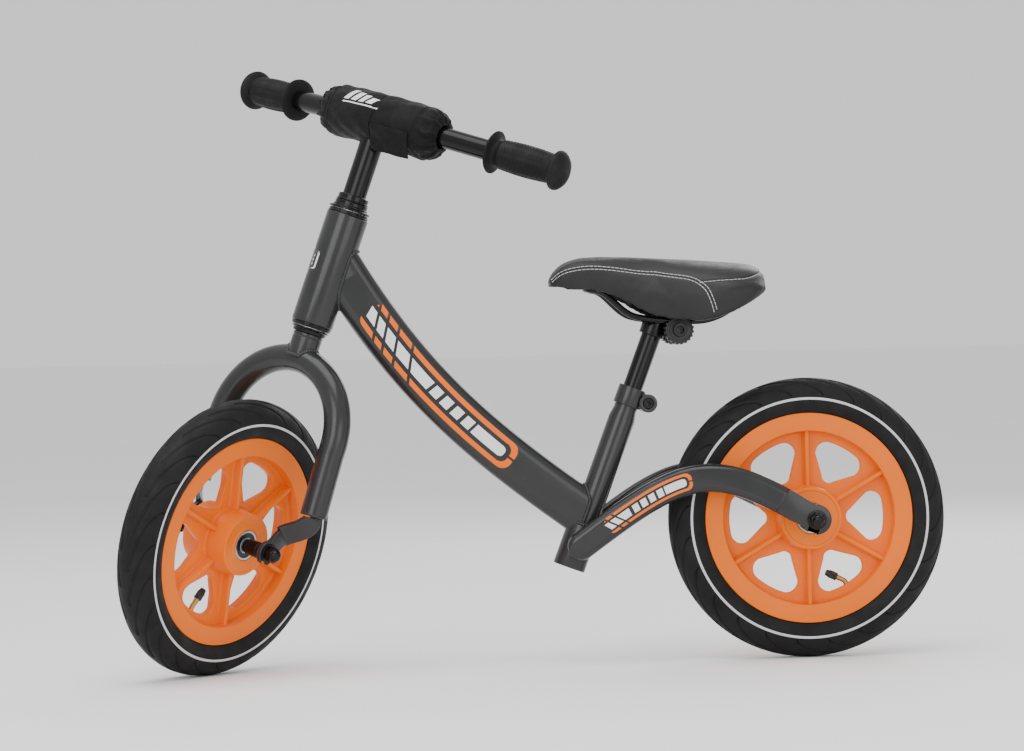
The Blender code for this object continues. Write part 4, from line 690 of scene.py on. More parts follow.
def rim_mesh():
    half = RIM_WIDTH / 2
    lip = half - RIM_LIP
    draft = 0.0012
    ring = [(RIM_RING_INNER + draft, half), (RIM_RADIUS, half), (RIM_RADIUS, lip), (BEAD_SEAT_RADIUS, lip),
            (BEAD_SEAT_RADIUS, -lip), (RIM_RADIUS, -lip), (RIM_RADIUS, -half), (RIM_RING_INNER + draft,
                                                                                -half),
            (RIM_RING_INNER, -WEB_THICKNESS / 2), (RIM_RING_INNER, WEB_THICKNESS / 2)]
    pocket = HUB_WIDTH / 2 - BEARING_WIDTH
    bore = BEARING_OD / 2 - 0.0025
    face = HUB_WIDTH / 2
    seat = BEARING_OD / 2 + TOUCH_GAP
    upper = [(seat, pocket), (seat, face), (seat + 0.0030, face), (seat + 0.0036, face - 0.0008),
             (HUB_RADIUS - 0.0060, face - 0.0008), (HUB_RADIUS - 0.0050, face), (HUB_RADIUS - 0.0020, face),
             (HUB_RADIUS + 0.0004, WEB_THICKNESS / 2 + 0.002), (HUB_RADIUS + 0.0024,
                                                                WEB_THICKNESS / 2 - 0.0004)]
    hub = [(bore, -pocket), (bore, pocket)] + upper + [(r, -z) for r, z in reversed(upper)]
    fillet = [(RIM_RING_INNER - 0.0030, WEB_THICKNESS / 2 - 0.0004),
              (RIM_RING_INNER - 0.0008, WEB_THICKNESS / 2 + 0.0008), (RIM_RING_INNER + 0.0004, 0.0072),
              (RIM_RING_INNER + 0.0030, 0.0072), (RIM_RING_INNER + 0.0030, -0.0072),
              (RIM_RING_INNER + 0.0004, -0.0072), (RIM_RING_INNER - 0.0008, -WEB_THICKNESS / 2 - 0.0008),
              (RIM_RING_INNER - 0.0030, 0.0004 - WEB_THICKNESS / 2)]
    parts = [(lathe(ring, 192, 0.0010), None), (lathe(hub, 144, 0.0009), None), (lathe(fillet, 192), None)]
    sector = web_sector()
    rib = rib_mesh()
    for i in range(SPOKES):
        parts.append((sector, turned("Z", 90 + 60 * (i + 0.5))))
        parts.append((rib, turned("Z", 90 + 60 * i)))
    return joined(parts)


def groove_path():
    """A tread groove: turn round the wheel (radians) against distance across the tread (metres)."""
    t = np.linspace(0, 1, 40)
    across = 0.0315 - 0.0265 * t ** 0.85
    turn = np.radians(27.0) * (0.10 * t + 0.90 * t ** 1.55)
    hook = np.linspace(0, 1, 8)[1:]
    across = np.concatenate([across, across[-1] + 0.0016 * np.sin(hook * math.pi * 0.6)])
    turn = np.concatenate([turn, turn[-1] - 0.010 * np.sin(hook * math.pi * 0.5)])
    return turn, across


def tread_depth(turn, across):
    """Depth of the grooves at each point, from 0 to 1."""
    depth = np.zeros_like(turn)
    path_turn, path_across = groove_path()
    pitch = math.tau / GROOVES
    for side in (1, -1):
        local = np.where(across * side > 0.0006, across * side, 1.0)
        for copy in range(-1, 3):
            angle = (turn + (0.5 * pitch if side < 0 else 0)) % pitch + copy * pitch
            best = np.full(turn.shape, 1.0)
            for k in range(len(path_turn) - 1):
                a = np.array([path_turn[k] * 0.142, path_across[k]])
                b = np.array([path_turn[k + 1] * 0.142, path_across[k + 1]])
                edge = b - a
                x = angle * 0.142 - a[0]
                y = local - a[1]
                share = np.clip((x * edge[0] + y * edge[1]) / (edge @ edge), 0, 1)
                width = 0.55 + 0.75 * min(1.0, (k + share.mean()) / len(path_turn) * 1.3)
                best = np.minimum(best, np.hypot(x - share * edge[0], y - share * edge[1]) / width)
            depth = np.maximum(depth, np.clip(1.6 - best / GROOVE_HALF_WIDTH, 0, 1))
    return depth * depth * (3 - 2 * depth)


def tyre_mesh():
    tube = TYRE_WIDTH / 2
    middle = WHEEL_RADIUS - tube
    clear = RIM_RADIUS + TOUCH_GAP * 2
    channel = RIM_WIDTH / 2 - RIM_LIP - TOUCH_GAP
    drop = math.degrees(math.asin((middle - clear) / tube))
    rows = np.radians(np.linspace(-drop, 180 + drop, 110))
    steps = 1080
    turn = np.linspace(0, math.tau, steps, endpoint=False)
    angle, around = np.meshgrid(rows, turn, indexing="ij")
    across = (angle - math.pi / 2) * tube
    shape = tube - GROOVE_DEPTH * tread_depth(around, across)
    side = np.abs(across)
    shape -= 0.0004 * np.exp(-((side - 0.0318) / 0.0005) ** 2)
    shape += 0.0003 * np.exp(-((side - 0.0405) / 0.0007) ** 2)
    shape = np.minimum(shape, tube)
    radius = middle + shape * np.sin(angle)
    height = shape * np.cos(angle)
    points = np.stack([radius * np.cos(around), radius * np.sin(around), height], -1)
    base = BEAD_SEAT_RADIUS + TOUCH_GAP

    def ring(r, z):
        return np.stack([r * np.cos(turn), r * np.sin(turn), np.full(steps, z)], -1)[None]

    points = np.concatenate([ring(base, channel), ring(clear, channel), points,
                             ring(clear, -channel), ring(base, -channel)])
    return grid(points, caps=False)


def stripe_mesh(side):
    """The pale reflecting line moulded into the tyre's side."""
    tube = TYRE_WIDTH / 2
    middle = WHEEL_RADIUS - tube
    centre = math.radians(2.5)
    swing = STRIPE_HALF_WIDTH / tube
    outline = []
    for share in np.linspace(-1, 1, 7):
        lift = 0.00022 * (1 - share ** 4)
        angle = centre + swing * share
        outline.append((middle + (tube + lift) * math.sin(angle), side * (tube + lift) * math.cos(angle)))
    for share in (1, -1):
        angle = centre + swing * share
        outline.append((middle + (tube - 0.0008) * math.sin(angle), side * (tube - 0.0008) * math.cos(angle)))
    return lathe(outline, 240)


def valve(wheel_name, body, wheel_matrix, lean):
    turn = wheel_matrix @ turned("Y", VALVE_POSITION)
    direction = Vector((math.sin(math.radians(-lean)), 0, -math.cos(math.radians(lean))))
    bend = Vector((0, 0, VALVE_BEND))
    points = [Vector((0, 0, BEAD_SEAT_RADIUS + 0.004)), bend + Vector((0, 0, VALVE_STEM_RADIUS)),
              bend + direction * VALVE_STEM_RADIUS, bend + direction * VALVE_FREE_LENGTH]
    stem = rod(points, VALVE_STEM_RADIUS * 0.93, 20, 40)
    threads = []
    for k in range(9):
        distance = VALVE_FREE_LENGTH * 0.30 + k * 0.0009
        ring = lathe([(VALVE_STEM_RADIUS * 0.8, -0.0002), (VALVE_STEM_RADIUS, -0.0002),
                      (VALVE_STEM_RADIUS, 0.0002), (VALVE_STEM_RADIUS * 0.8, 0.0002)], 28)
        facing = direction.to_track_quat("Z", "Y").to_matrix().to_4x4()
        threads.append((ring, Matrix.Translation(bend + direction * distance) @ facing))
    piece(wheel_name + "_valve", joined([(stem, None)] + threads), "brass", body,
          (wheel_name + "_valve_stem",), turn)
    steps = 72
    angles = np.linspace(0, math.tau, steps, endpoint=False)
    rows = []
    for radius, height, ribbed in ((0.0031, 0.0, 0), (0.0042, 0.0002, 0), (0.0044, 0.0008, 0),
                                   (0.0044, 0.0022, 0),
                                   (0.0041, 0.0026, 1), (0.0043, 0.0032, 1), (0.0043, 0.0088, 1),
                                   (0.0039, 0.0094, 1), (0.0036, 0.0102, 0), (0.0034, 0.0122, 0),
                                   (0.0028, 0.0129, 0), (0.0010, 0.0130, 0)):
        r = radius - 0.00035 * ribbed * (0.5 + 0.5 * np.cos(angles * 18))
        rows.append(np.stack([r * np.cos(angles), r * np.sin(angles), np.full(steps, height)], -1))
    cap = grid(rows)
    cap.transform(direction.to_track_quat("Z", "Y").to_matrix().to_4x4())
    depth = VALVE_CAP_LENGTH - VALVE_CAP_END
    cap.transform(Matrix.Translation(points[-1] - direction * (depth - TOUCH_GAP)))
    piece(wheel_name + "_cap", cap, "black_plastic", body, (wheel_name + "_valve_cap",), turn)


def bearing(name, body, where):
    """A sealed ball bearing: two bright rings with a black seal set in between them."""
    outer = BEARING_OD / 2
    bore = BEARING_BORE / 2
    rings = joined([
        (lathe([(outer, -0.0002), (outer, -BEARING_WIDTH), (outer - 0.0022, -BEARING_WIDTH),
                (outer - 0.0022, -0.0002)], 96, 0.0004), None),
        (lathe([(bore + 0.0024, -0.0002), (bore + 0.0024, -BEARING_WIDTH), (bore, -BEARING_WIDTH),
                (bore, -0.0002)], 96, 0.0004), None)])
    piece(name + "_rings", rings, "bare_steel", body, (name,), where)
    seal = lathe([(outer - 0.0020, -0.0008), (outer - 0.0020, -BEARING_WIDTH + 0.0008),
                  (bore + 0.0022, -BEARING_WIDTH + 0.0008), (bore + 0.0022, -0.0008),
                  (bore + 0.0045, -0.0011), (outer - 0.0042, -0.0011)], 96, 0.0004)
    piece(name + "_seal", seal, "black_plastic", body, (), where)


def wheels():
    rim = rim_mesh()
    tyre = tyre_mesh()
    for name, matrix, lean in (("rear", REAR_HUB, 35.0), ("front", FRONT_WHEEL, -12.0)):
        body = name + "_wheel"
        where = matrix @ ALONG_Y
        piece(name + "_wheel_moulding", rim.copy(), "orange_plastic", body, (name + "_rim",), where, 38.0)
        piece(name + "_tread", tyre.copy(), "tyre_rubber", body, (name + "_tyre",), where, 60.0)
        for side, word in ((1, "left"), (-1, "right")):
            piece(f"{name}_stripe_{word}", stripe_mesh(side), "grey_stripe", body, (), where, 60.0)
            face = matrix @ moved(0, side * HUB_WIDTH / 2, 0) @ turned("X", -90 * side)
            bearing(f"{name}_bearing_{word}", body, face)
        valve(name, body, matrix, lean)


def axle_fittings():
    for name, hub, body in (("rear", REAR_HUB, "frame"), ("front", FRONT_HUB, "fork")):
        for side, word in ((1, "left"), (-1, "right")):
            flip = hub @ turned("X", -90 * side)
            start = HUB_WIDTH / 2 + TOUCH_GAP + RUN_GAP
            stop = DROPOUT_INNER - TOUCH_GAP
            bore = AXLE_RADIUS + TOUCH_GAP
            cone = [(bore, start), (0.0072, start), (0.0076, start + 0.0010), (0.0076, start + 0.0030),
                    (CONE_RADIUS, start + 0.0042), (CONE_RADIUS, stop - 0.0070), (CONE_RADIUS - 0.0008,
                                                                                  stop - 0.0064),
                    (CONE_RADIUS - 0.0008, stop - 0.0052), (CONE_RADIUS, stop - 0.0046), (CONE_RADIUS, stop),
                    (bore, stop)]
            piece(f"{name}_cone_{word}", lathe(cone, 72, 0.0004), "black_metal", body,
                  (f"{name}_axle_cone_{word}",), flip)
            base = DROPOUT_INNER + DROPOUT_THICKNESS + TOUCH_GAP
            piece(f"{name}_nut_{word}", nut_mesh(), "black_metal", body, (f"{name}_axle_nut_{word}",),
                  flip @ moved(0, 0, base) @ turned("Z", 15), 30.0)


def nut_mesh():
    """A flanged six-sided nut with a polished dome."""
    steps = 120
    turn = np.linspace(0, math.tau, steps, endpoint=False)
    flat = NUT_ACROSS_FLATS / 2
    inside = (turn + math.pi / 6) % (math.pi / 3) - math.pi / 6
    hexagon = flat / np.cos(inside)
    rows = []

    def ring(radius, height):
        rows.append(np.stack([radius * np.cos(turn), radius * np.sin(turn), np.full(steps, height)], -1))

    one = np.ones(steps)
    ring(0.0052 * one, 0.0)
    ring((WASHER_RADIUS - 0.0003) * one, 0.0)
    ring(WASHER_RADIUS * one, 0.0003)
    ring(WASHER_RADIUS * one, 0.0014)
    ring((WASHER_RADIUS - 0.0004) * one, 0.0018)
    ring(np.minimum(hexagon, WASHER_RADIUS - 0.0010), 0.0020)
    for height in (0.0024, 0.0084):
        ring(hexagon, height)
    for height, limit in ((0.0088, 0.0084), (0.0093, 0.0080), (0.0098, 0.0074)):
        ring(np.minimum(hexagon, limit), height)
    ring(0.0069 * one, 0.0099)
    for angle in np.radians((0, 12, 25, 38, 51, 64, 77, 86)):
        ring(0.0066 * math.cos(angle) * one, 0.0101 + 0.0057 * math.sin(angle))
    return grid(rows)


# ---------------------------------------------------------------- frame
class Tube:
    """A rounded-box tube along a path, with a way to lay marks on its side."""

    def __init__(self, points, width, depth, corner, taper=1.0, ends=None):
        self.frames = frames_along(points, Vector((0, 1, 0)))
        self.half = width / 2
        self.depth = depth / 2
        self.corner = corner
        line = np.array([tuple(p) for p in points])
        self.length = np.concatenate([[0], np.cumsum(np.linalg.norm(np.diff(line, axis=0), axis=1))])
        count = len(points) - 1
        self.width_scale = [1 + (taper - 1) * i / count for i in range(count + 1)]
        self.scales = ends or [(w, 1.0) for w in self.width_scale]

    def mesh(self):
        return sweep(self.frames, rounded_box(self.half * 2, self.depth * 2, self.corner, 12), self.scales)

    def on_side(self, side, u, v, lift):
        """A point u along the tube and v up its side, lift off the surface."""
        share = float(np.interp(u, self.length, np.arange(len(self.length))))
        low = min(int(share), len(self.frames) - 2)
        t = share - low
        point, across, up = (self.frames[low][k].lerp(self.frames[low + 1][k], t) for k in range(3))
        flat = self.depth - self.corner
        beyond = max(abs(v) - flat, 0.0) / self.corner
        wide = self.half - self.corner + (self.corner + lift) * math.cos(beyond)
        tall = math.copysign(min(abs(v), flat) + (self.corner + lift) * math.sin(beyond), v)
        a_scale = self.scales[low][0] * (1 - t) + self.scales[low + 1][0] * t
        b_scale = self.scales[low][1] * (1 - t) + self.scales[low + 1][1] * t
        wide = wide * a_scale + lift * (1 - a_scale)
        facing = 1 if across.y > 0 else -1
        return point + across * (side * facing * wide) - up * (tall * b_scale)


def patch(tube, side, low, high, ahead, behind, cells=(14, 5)):
    """A mark on a tube's side between two heights; ahead(v) and behind(v) are its ends along the tube."""
    rows = []
    for lift in (-0.0004, DECAL_LIFT):
        for j in range(cells[1] + 1):
            v = low + (high - low) * j / cells[1]
            start, end = ahead(v), behind(v)
            end = max(end, start)
            row = [tube.on_side(side, start + (end - start) * i / cells[0], v,
                                lift) for i in range(cells[0] + 1)]
            rows.append([tuple(p) for p in row])
    count = cells[1] + 1
    bottom, top = np.array(rows[:count]), np.array(rows[count:])
    outline_top = np.concatenate([top[0], top[1:, -1], top[-1, -2::-1], top[-2:0:-1, 0]])
    outline_bottom = np.concatenate([bottom[0], bottom[1:, -1], bottom[-1, -2::-1], bottom[-2:0:-1, 0]])
    return joined([(grid(top, around=False), None), (grid([outline_bottom, outline_top], caps=False), None)])


def capsule_end(v, limit, rounding, edge):
    """Where a rounded end lies at height v: limit less what the corner takes away."""
    over = max(abs(v) - (edge - rounding), 0.0)
    return limit - (rounding - math.sqrt(max(rounding * rounding - over * over, 0.0)))


def decal(tube, side, start, cuts, block_end, bars, length, edge, strip, core, slant):
    """Two long strips round a row of slanted blocks and plain bars. Returns orange and white meshes."""
    gap = 0.0042 * edge / 0.0155

    def line(position, shift):
        return lambda v: start + position - slant * v + shift

    def front(v):
        return start + edge * 0.5 - (capsule_end(v, edge * 0.5, edge * 0.6, edge))

    def outer_end(v):
        return start + capsule_end(v, length, edge * 0.72, edge)

    orange, white = [], []
    for sign in (1, -1):
        low, high = sorted((sign * (edge - strip), sign * edge))
        previous = front
        for cut in cuts:
            orange.append(patch(tube, side, low, high, previous, line(cut, -gap / 2)))
            previous = line(cut, gap / 2)
        straight = start + length - edge
        orange.append(patch(tube, side, low, high, previous, lambda v: straight, (60, 4)))
        inner = edge - strip

        def inside(v):
            return max(straight, start + capsule_end(v, length - strip * 1.3, inner * 0.8, inner)) \
                if abs(v) < inner else straight

        low, high = sorted((sign * gap * 0.3, sign * edge))
        orange.append(patch(tube, side, low, high, inside, outer_end, (16, 24)))
    previous = (lambda v: start + 0.0012 - 0.45 * v)
    for cut in cuts:
        white.append(patch(tube, side, -core, core, previous, line(cut, -gap / 2)))
        previous = line(cut, gap / 2)
    white.append(patch(tube, side, -core, core, previous, lambda v: start + block_end + 0.10 * v, (20, 5)))
    for first, last in bars:
        white.append(patch(tube, side, -core, core, lambda v: start + first + 0.10 * v,
                           lambda v: start + last + 0.10 * v))
    tail = start + bars[-1][1] + gap * 0.8
    white.append(patch(tube, side, -core, core, lambda v: tail + 0.10 * v,
                       lambda v: start + capsule_end(v, length - strip * 2.4, core * 0.8, core), (20, 10)))
    return joined([(m, None) for m in orange]), joined([(m, None) for m in white])


STAY_LAP_END = 0.0185          # how far from the axle a stay's flattened end stops
STAY_LAP_STEP = 0.00135        # path length between a stay's last rings, about


def slope(degrees):
    return Vector((-math.cos(math.radians(degrees)), 0, -math.sin(math.radians(degrees))))


def trim_to_cylinder(mesh_data, outward, cylinder, radius):
    """Slide every point that lies inside a cylinder out along outward until it meets the wall."""
    inverse = cylinder.inverted()
    for vertex in mesh_data.vertices:
        local = inverse @ vertex.co
        if math.hypot(local.x, local.y) < radius:
            far = vertex.co + outward.normalized() * 4 * radius
            vertex.co = cast_to_cylinder(far, -outward, cylinder, radius)


def main_tube():
    start = steering_foot() + leaning(HEAD_LEAN) * MAIN_TUBE_HEAD
    end = Vector((SEAT_FOOT_X, 0, SEAT_FOOT_Z)) + leaning(SEAT_LEAN) * 0.0590
    path = bezier(start, start + slope(60.0) * 0.15, end - slope(36.0) * 0.15, end, 120)
    tube = Tube(path, MAIN_TUBE_WIDTH, MAIN_TUBE_DEPTH, MAIN_TUBE_WIDTH * 0.40,
                MAIN_TUBE_SEAT_WIDTH / MAIN_TUBE_WIDTH)
    shell = tube.mesh()
    trim_to_cylinder(shell, path[1] - path[0], BASE.inverted() @ HEAD, HEAD_TUBE_RADIUS - 0.0015)
    trim_to_cylinder(shell, path[-2] - path[-1], BASE.inverted() @ SEAT, SEAT_TUBE_RADIUS - 0.0010)
    piece("spine", shell, "painted_steel", "frame", ("main_tube",), BASE)
    section = rounded_box(MAIN_TUBE_WIDTH, MAIN_TUBE_DEPTH, MAIN_TUBE_WIDTH * 0.40, 10)
    for index, name, cylinder, radius in ((14, "head", HEAD, HEAD_TUBE_RADIUS), (-14, "seat", SEAT,
                                                                                 SEAT_TUBE_RADIUS)):
        point, across, up = tube.frames[index]
        scale = tube.scales[index][0]
        step = tube.frames[index - 12 if index > 0 else index + 12][0] - point
        loop = []
        for a, b in section:
            hit = cast_to_cylinder(BASE @ (point + across * (a * scale) + up * b), step, cylinder, radius)
            if hit is not None:
                loop.append(hit)
        piece("weld_" + name, bead(loop, 0.0019), "painted_steel", "frame", (), None, 80.0)
    for side, word in ((1, "left"), (-1, "right")):
        orange, white = decal(tube, side, 0.066, (0.015, 0.030, 0.048, 0.072), 0.104,
                              ((0.108, 0.119), (0.1235, 0.1345), (0.139, 0.150), (0.1545, 0.1655)), 0.223,
                              0.0155, 0.0052, 0.0058, 0.87)
        piece("spine_mark_orange_" + word, orange, "orange_ink", "frame", (), BASE)
        piece("spine_mark_white_" + word, white, "white_ink", "frame", (), BASE)


def head_badge():
    """A plain framed badge wrapped round the front of the head tube."""
    parts = []
    height = (HEAD_TUBE_BOTTOM + HEAD_TUBE_TOP) / 2 + 0.004

    def strip(corners):
        rows = []
        for lift in (-0.0004, 0.00015):
            row = []
            for (a0, z0), (a1, z1) in zip(corners, corners[1:] + corners[:1]):
                for k in range(8):
                    angle = math.radians(a0 + (a1 - a0) * k / 8)
                    z = z0 + (z1 - z0) * k / 8
                    radius = HEAD_TUBE_RADIUS + lift
                    row.append((radius * math.cos(angle), radius * math.sin(angle), height + z))
            rows.append(row)
        return grid(rows)

    def bar(a0, z0, a1, z1, width):
        """A straight bar of the badge: angle round the tube in degrees, height in metres."""
        scale = math.degrees(1 / HEAD_TUBE_RADIUS)
        along = Vector(((a1 - a0) / scale, z1 - z0)).normalized()
        out = Vector((-along.y, along.x)) * width / 2
        return strip([(a0 + out.x * scale, z0 + out.y), (a1 + out.x * scale, z1 + out.y),
                      (a1 - out.x * scale, z1 - out.y), (a0 - out.x * scale, z0 - out.y)])

    shield = [(-40, 0.009), (0, 0.014), (40, 0.009), (40, -0.007), (0, -0.014), (-40, -0.007)]
    for (a0, z0), (a1, z1) in zip(shield, shield[1:] + shield[:1]):
        parts.append(bar(a0, z0, a1, z1, 0.0022))
    for z in (0.0045, 0.0, -0.0045):
        parts.append(bar(-26, z - 0.0012, 26, z + 0.0012, 0.0026))
    piece("head_badge", joined([(m, None) for m in parts]), "white_ink", "frame", (), HEAD)


def head_and_seat_tubes():
    inner = HEAD_TUBE_RADIUS - 0.0044
    tube = [(HEAD_TUBE_RADIUS, HEAD_TUBE_TOP), (HEAD_TUBE_RADIUS, HEAD_TUBE_BOTTOM),
            (inner, HEAD_TUBE_BOTTOM),
            (inner, HEAD_TUBE_TOP)]
    piece("head_shell", lathe(tube, 144, 0.0009), "painted_steel", "frame", ("head_tube",), HEAD)
    head_badge()
    bore = SEAT_POST_RADIUS + RUN_GAP
    wall = SEAT_TUBE_RADIUS - 0.0018
    foot = SEAT_FOOT_RADIUS - 0.0030
    swage = SEAT_TUBE_LENGTH - 0.0350
    outline = [
        (SEAT_NECK_RADIUS, SEAT_TUBE_LENGTH), (SEAT_NECK_RADIUS, swage + 0.0100), (SEAT_TUBE_RADIUS, swage),
        (SEAT_TUBE_RADIUS, SEAT_FOOT_LENGTH + 0.0020), (SEAT_FOOT_RADIUS, SEAT_FOOT_LENGTH),
        (SEAT_FOOT_RADIUS, 0), (foot, 0), (foot, SEAT_FOOT_LENGTH - 0.0060),
        (wall, SEAT_FOOT_LENGTH - 0.0030), (wall, swage), (bore, swage + 0.0100), (bore, SEAT_TUBE_LENGTH),
    ]
    piece("seat_mast", lathe(outline, 120, 0.0012), "painted_steel", "frame", ("seat_tube",), SEAT)
    ring = [SEAT @ Vector((SEAT_FOOT_RADIUS * math.cos(a) * 0.93, SEAT_FOOT_RADIUS * math.sin(a) * 0.93,
                           SEAT_FOOT_LENGTH + 0.0012)) for a in np.linspace(0, math.tau, 90, endpoint=False)]
    piece("weld_foot", bead(ring, 0.0018), "painted_steel", "frame", (), None, 80.0)


def seat_collar():
    """Clamp ring with a cross barrel, its socket screw and the split behind."""
    top = SEAT_TUBE_LENGTH
    bottom = top - SEAT_COLLAR_HEIGHT
    bore = SEAT_NECK_RADIUS + TOUCH_GAP
    centre = bottom + SEAT_COLLAR_HEIGHT * 0.48
    ring = lathe([(bore, bottom), (SEAT_COLLAR_RADIUS, bottom), (SEAT_COLLAR_RADIUS, top), (bore, top)],
                 120, 0.0008)
    half = LUG_WIDTH / 2
    hole = LUG_HEAD_RADIUS + TOUCH_GAP
    barrels = []
    for side in (1, -1):
        end, inner = side * half, side * 0.0020
        barrel = lathe([(0.0034, inner), (LUG_RADIUS, inner), (LUG_RADIUS, end), (hole, end),
                        (hole, side * (half - 0.0045)), (0.0034, side * (half - 0.0045))], 96, 0.0009)
        barrels.append((barrel, moved(-LUG_SET_BACK, 0, centre) @ ALONG_Y))
    neck = []
    for side in (1, -1):
        low, high = sorted((side * 0.0020, side * 0.0098))
        outline = [(-LUG_SET_BACK, low), (-bore - 0.0006, low), (-bore + 0.0012, high), (-LUG_SET_BACK, high)]
        neck.append((prism(outline, centre - 0.0085, centre + 0.0085, 0.0006), None))
    piece("seat_clamp", joined([(ring, None)] + barrels + neck), "painted_steel", "frame", ("seat_collar",),
          SEAT)
    screw_place = SEAT @ moved(-LUG_SET_BACK, 0, centre) @ ALONG_Y
    piece("seat_screw", socket_screw(LUG_HEAD_RADIUS, half - 0.0045, 0.0044), "black_metal", "frame",
          ("seat_collar_bolt",), screw_place)
    nut = lathe([(0.0031, -half + 0.0001), (0.0031, -half + 0.0044), (LUG_HEAD_RADIUS, -half + 0.0044),
                 (LUG_HEAD_RADIUS, -half + 0.0001)], 6, 0.0003)
    piece("seat_nut", nut, "black_metal", "frame", ("seat_collar_nut",), screw_place)


def socket_screw(head, seat, height):
    """A cap screw's head with a six-sided socket, standing on seat along Z."""
    steps = 72
    turn = np.linspace(0, math.tau, steps, endpoint=False)
    inside = (turn + math.pi / 6) % (math.pi / 3) - math.pi / 6
    key = head * 0.48 / np.cos(inside)
    knurl = 1 - 0.025 * (0.5 + 0.5 * np.cos(turn * 24))
    rows = []
    for radius, z in ((head * 0.5 * np.ones(steps), seat), (head * knurl, seat),
                      (head * knurl, seat + height * 0.8),
                      (head * 0.93 * np.ones(steps), seat + height), (key * 1.08, seat + height),
                      (key, seat + height * 0.92), (key, seat + height * 0.35), (key * 0.02,
                                                                                 seat + height * 0.30)):
        rows.append(np.stack([radius * np.cos(turn), radius * np.sin(turn), np.full(steps, z)], -1))
    return grid(rows)


def stays():
    """Chainstays whose flattened ends run on over the dropouts, with a crimp ahead of each axle."""
    rear = Vector((STAY_REAR[0], 0, WHEEL_RADIUS + STAY_REAR[1]))
    front = Vector((SEAT_FOOT_X - 0.0115, 0, SEAT_FOOT_Z + 0.0235))
    plan = bezier(front, front + Vector((-0.100, 0, 0.074)), rear + Vector((0.0800, 0, 0.0450)), rear, 260)
    for side, word in ((1, "left"), (-1, "right")):
        path = []
        for point in plan:
            share = (front.x - point.x) / (front.x - rear.x)
            y = side * (STAY_FRONT_Y + (STAY_REAR_Y - STAY_FRONT_Y) * share)
            path.append(Vector((point.x, y, point.z)))
        onward = (Vector((0, path[-1].y, WHEEL_RADIUS)) - path[-1])
        reach = onward.length - STAY_LAP_END
        path += [path[-1] + onward.normalized() * (reach * k / 16) for k in range(1, 17)]
        frames = frames_along(path, Vector((0, 1, 0)))
        corner = STAY_WIDTH * 0.46
        rows = []
        section = rounded_box(STAY_WIDTH, STAY_DEPTH, corner, 12)
        point, across, up = frames[0]
        along = (path[1] - path[0]).normalized()
        for angle in (8, 16, 25, 35, 45, 55, 65, 75, 83):
            shrink = math.sin(math.radians(angle))
            back = along * (-STAY_DEPTH / 2 * math.cos(math.radians(angle)))
            rows.append([tuple(point + back + across * (a * (0.55 + 0.45 * shrink)) + up * (b * shrink))
                         for a, b in section])
        last = len(frames) - 1
        for i, (point, across, up) in enumerate(frames):
            left = (last - i) * STAY_LAP_STEP
            flat = 1 - min(left / 0.045, 1.0)
            flat = flat * flat * (3 - 2 * flat)
            inward = -side * (1 if across.y > 0 else -1)
            row = []
            for a, b in section:
                lean = a * (1 - 0.42 * flat) - inward * 0.42 * flat * STAY_WIDTH / 2
                row.append(tuple(point + across * lean + up * (b * (1 - 0.06 * flat))))
            rows.append(row)
        mesh_data = grid(rows)
        crimp(mesh_data, side)
        piece("stay_" + word, mesh_data, "painted_steel", "frame", ("chainstay_" + word,), BASE)
        tube = Tube(path, STAY_WIDTH, STAY_DEPTH, corner)
        orange, white = decal(tube, side, 0.034, (0.008, 0.017), 0.030,
                              ((0.034, 0.041), (0.044, 0.051), (0.054, 0.061), (0.064, 0.071)), 0.104, 0.0092,
                              0.0027, 0.0042, 0.60)
        piece("stay_mark_orange_" + word, orange, "orange_ink", "frame", (), BASE)
        piece("stay_mark_white_" + word, white, "white_ink", "frame", (), BASE)
        rear_dropout(side, word)
        stay_weld(frames, section, word)


def crimp(mesh_data, side):
    """Press a small rectangle into the outer face of a stay's flattened end."""
    slant = math.atan2(STAY_REAR[1], STAY_REAR[0])
    for vertex in mesh_data.vertices:
        x = vertex.co.x
        z = vertex.co.z - WHEEL_RADIUS
        u = x * math.cos(slant) + z * math.sin(slant)
        v = -x * math.sin(slant) + z * math.cos(slant)
        if vertex.co.y * side < STAY_REAR_Y:
            continue
        reach_u = min(max((0.0080 - abs(u - 0.0330)) / 0.0018, 0.0), 1.0)
        reach_v = min(max((0.0066 - abs(v)) / 0.0018, 0.0), 1.0)
        vertex.co.y -= side * 0.0022 * min(reach_u, reach_v)


def stay_weld(frames, section, word):
    """Bead where a stay meets the seat tube's foot."""
    inverse = SEAT.inverted() @ BASE
    runs = {}
    for j, (a, b) in enumerate(section):
        previous = None
        for i in range(0, 60):
            point, across, up = frames[i]
            spot = inverse @ (point + across * a + up * b)
            outside = math.hypot(spot.x, spot.y) > SEAT_FOOT_RADIUS
            if previous is False and outside and 0 < spot.z < SEAT_FOOT_LENGTH + 0.01:
                runs[j] = BASE @ (point + across * a + up * b)
                break
            previous = outside
    keys = sorted(runs)
    if len(keys) < 6:
        return
    split = 0
    for k in range(1, len(keys)):
        if keys[k] - keys[k - 1] > 3:
            split = k
    ordered = [runs[k] for k in keys[split:] + keys[:split]]
    piece("weld_stay_" + word, bead(ordered, 0.0016, closed=False), "painted_steel", "frame", (), None, 80.0)


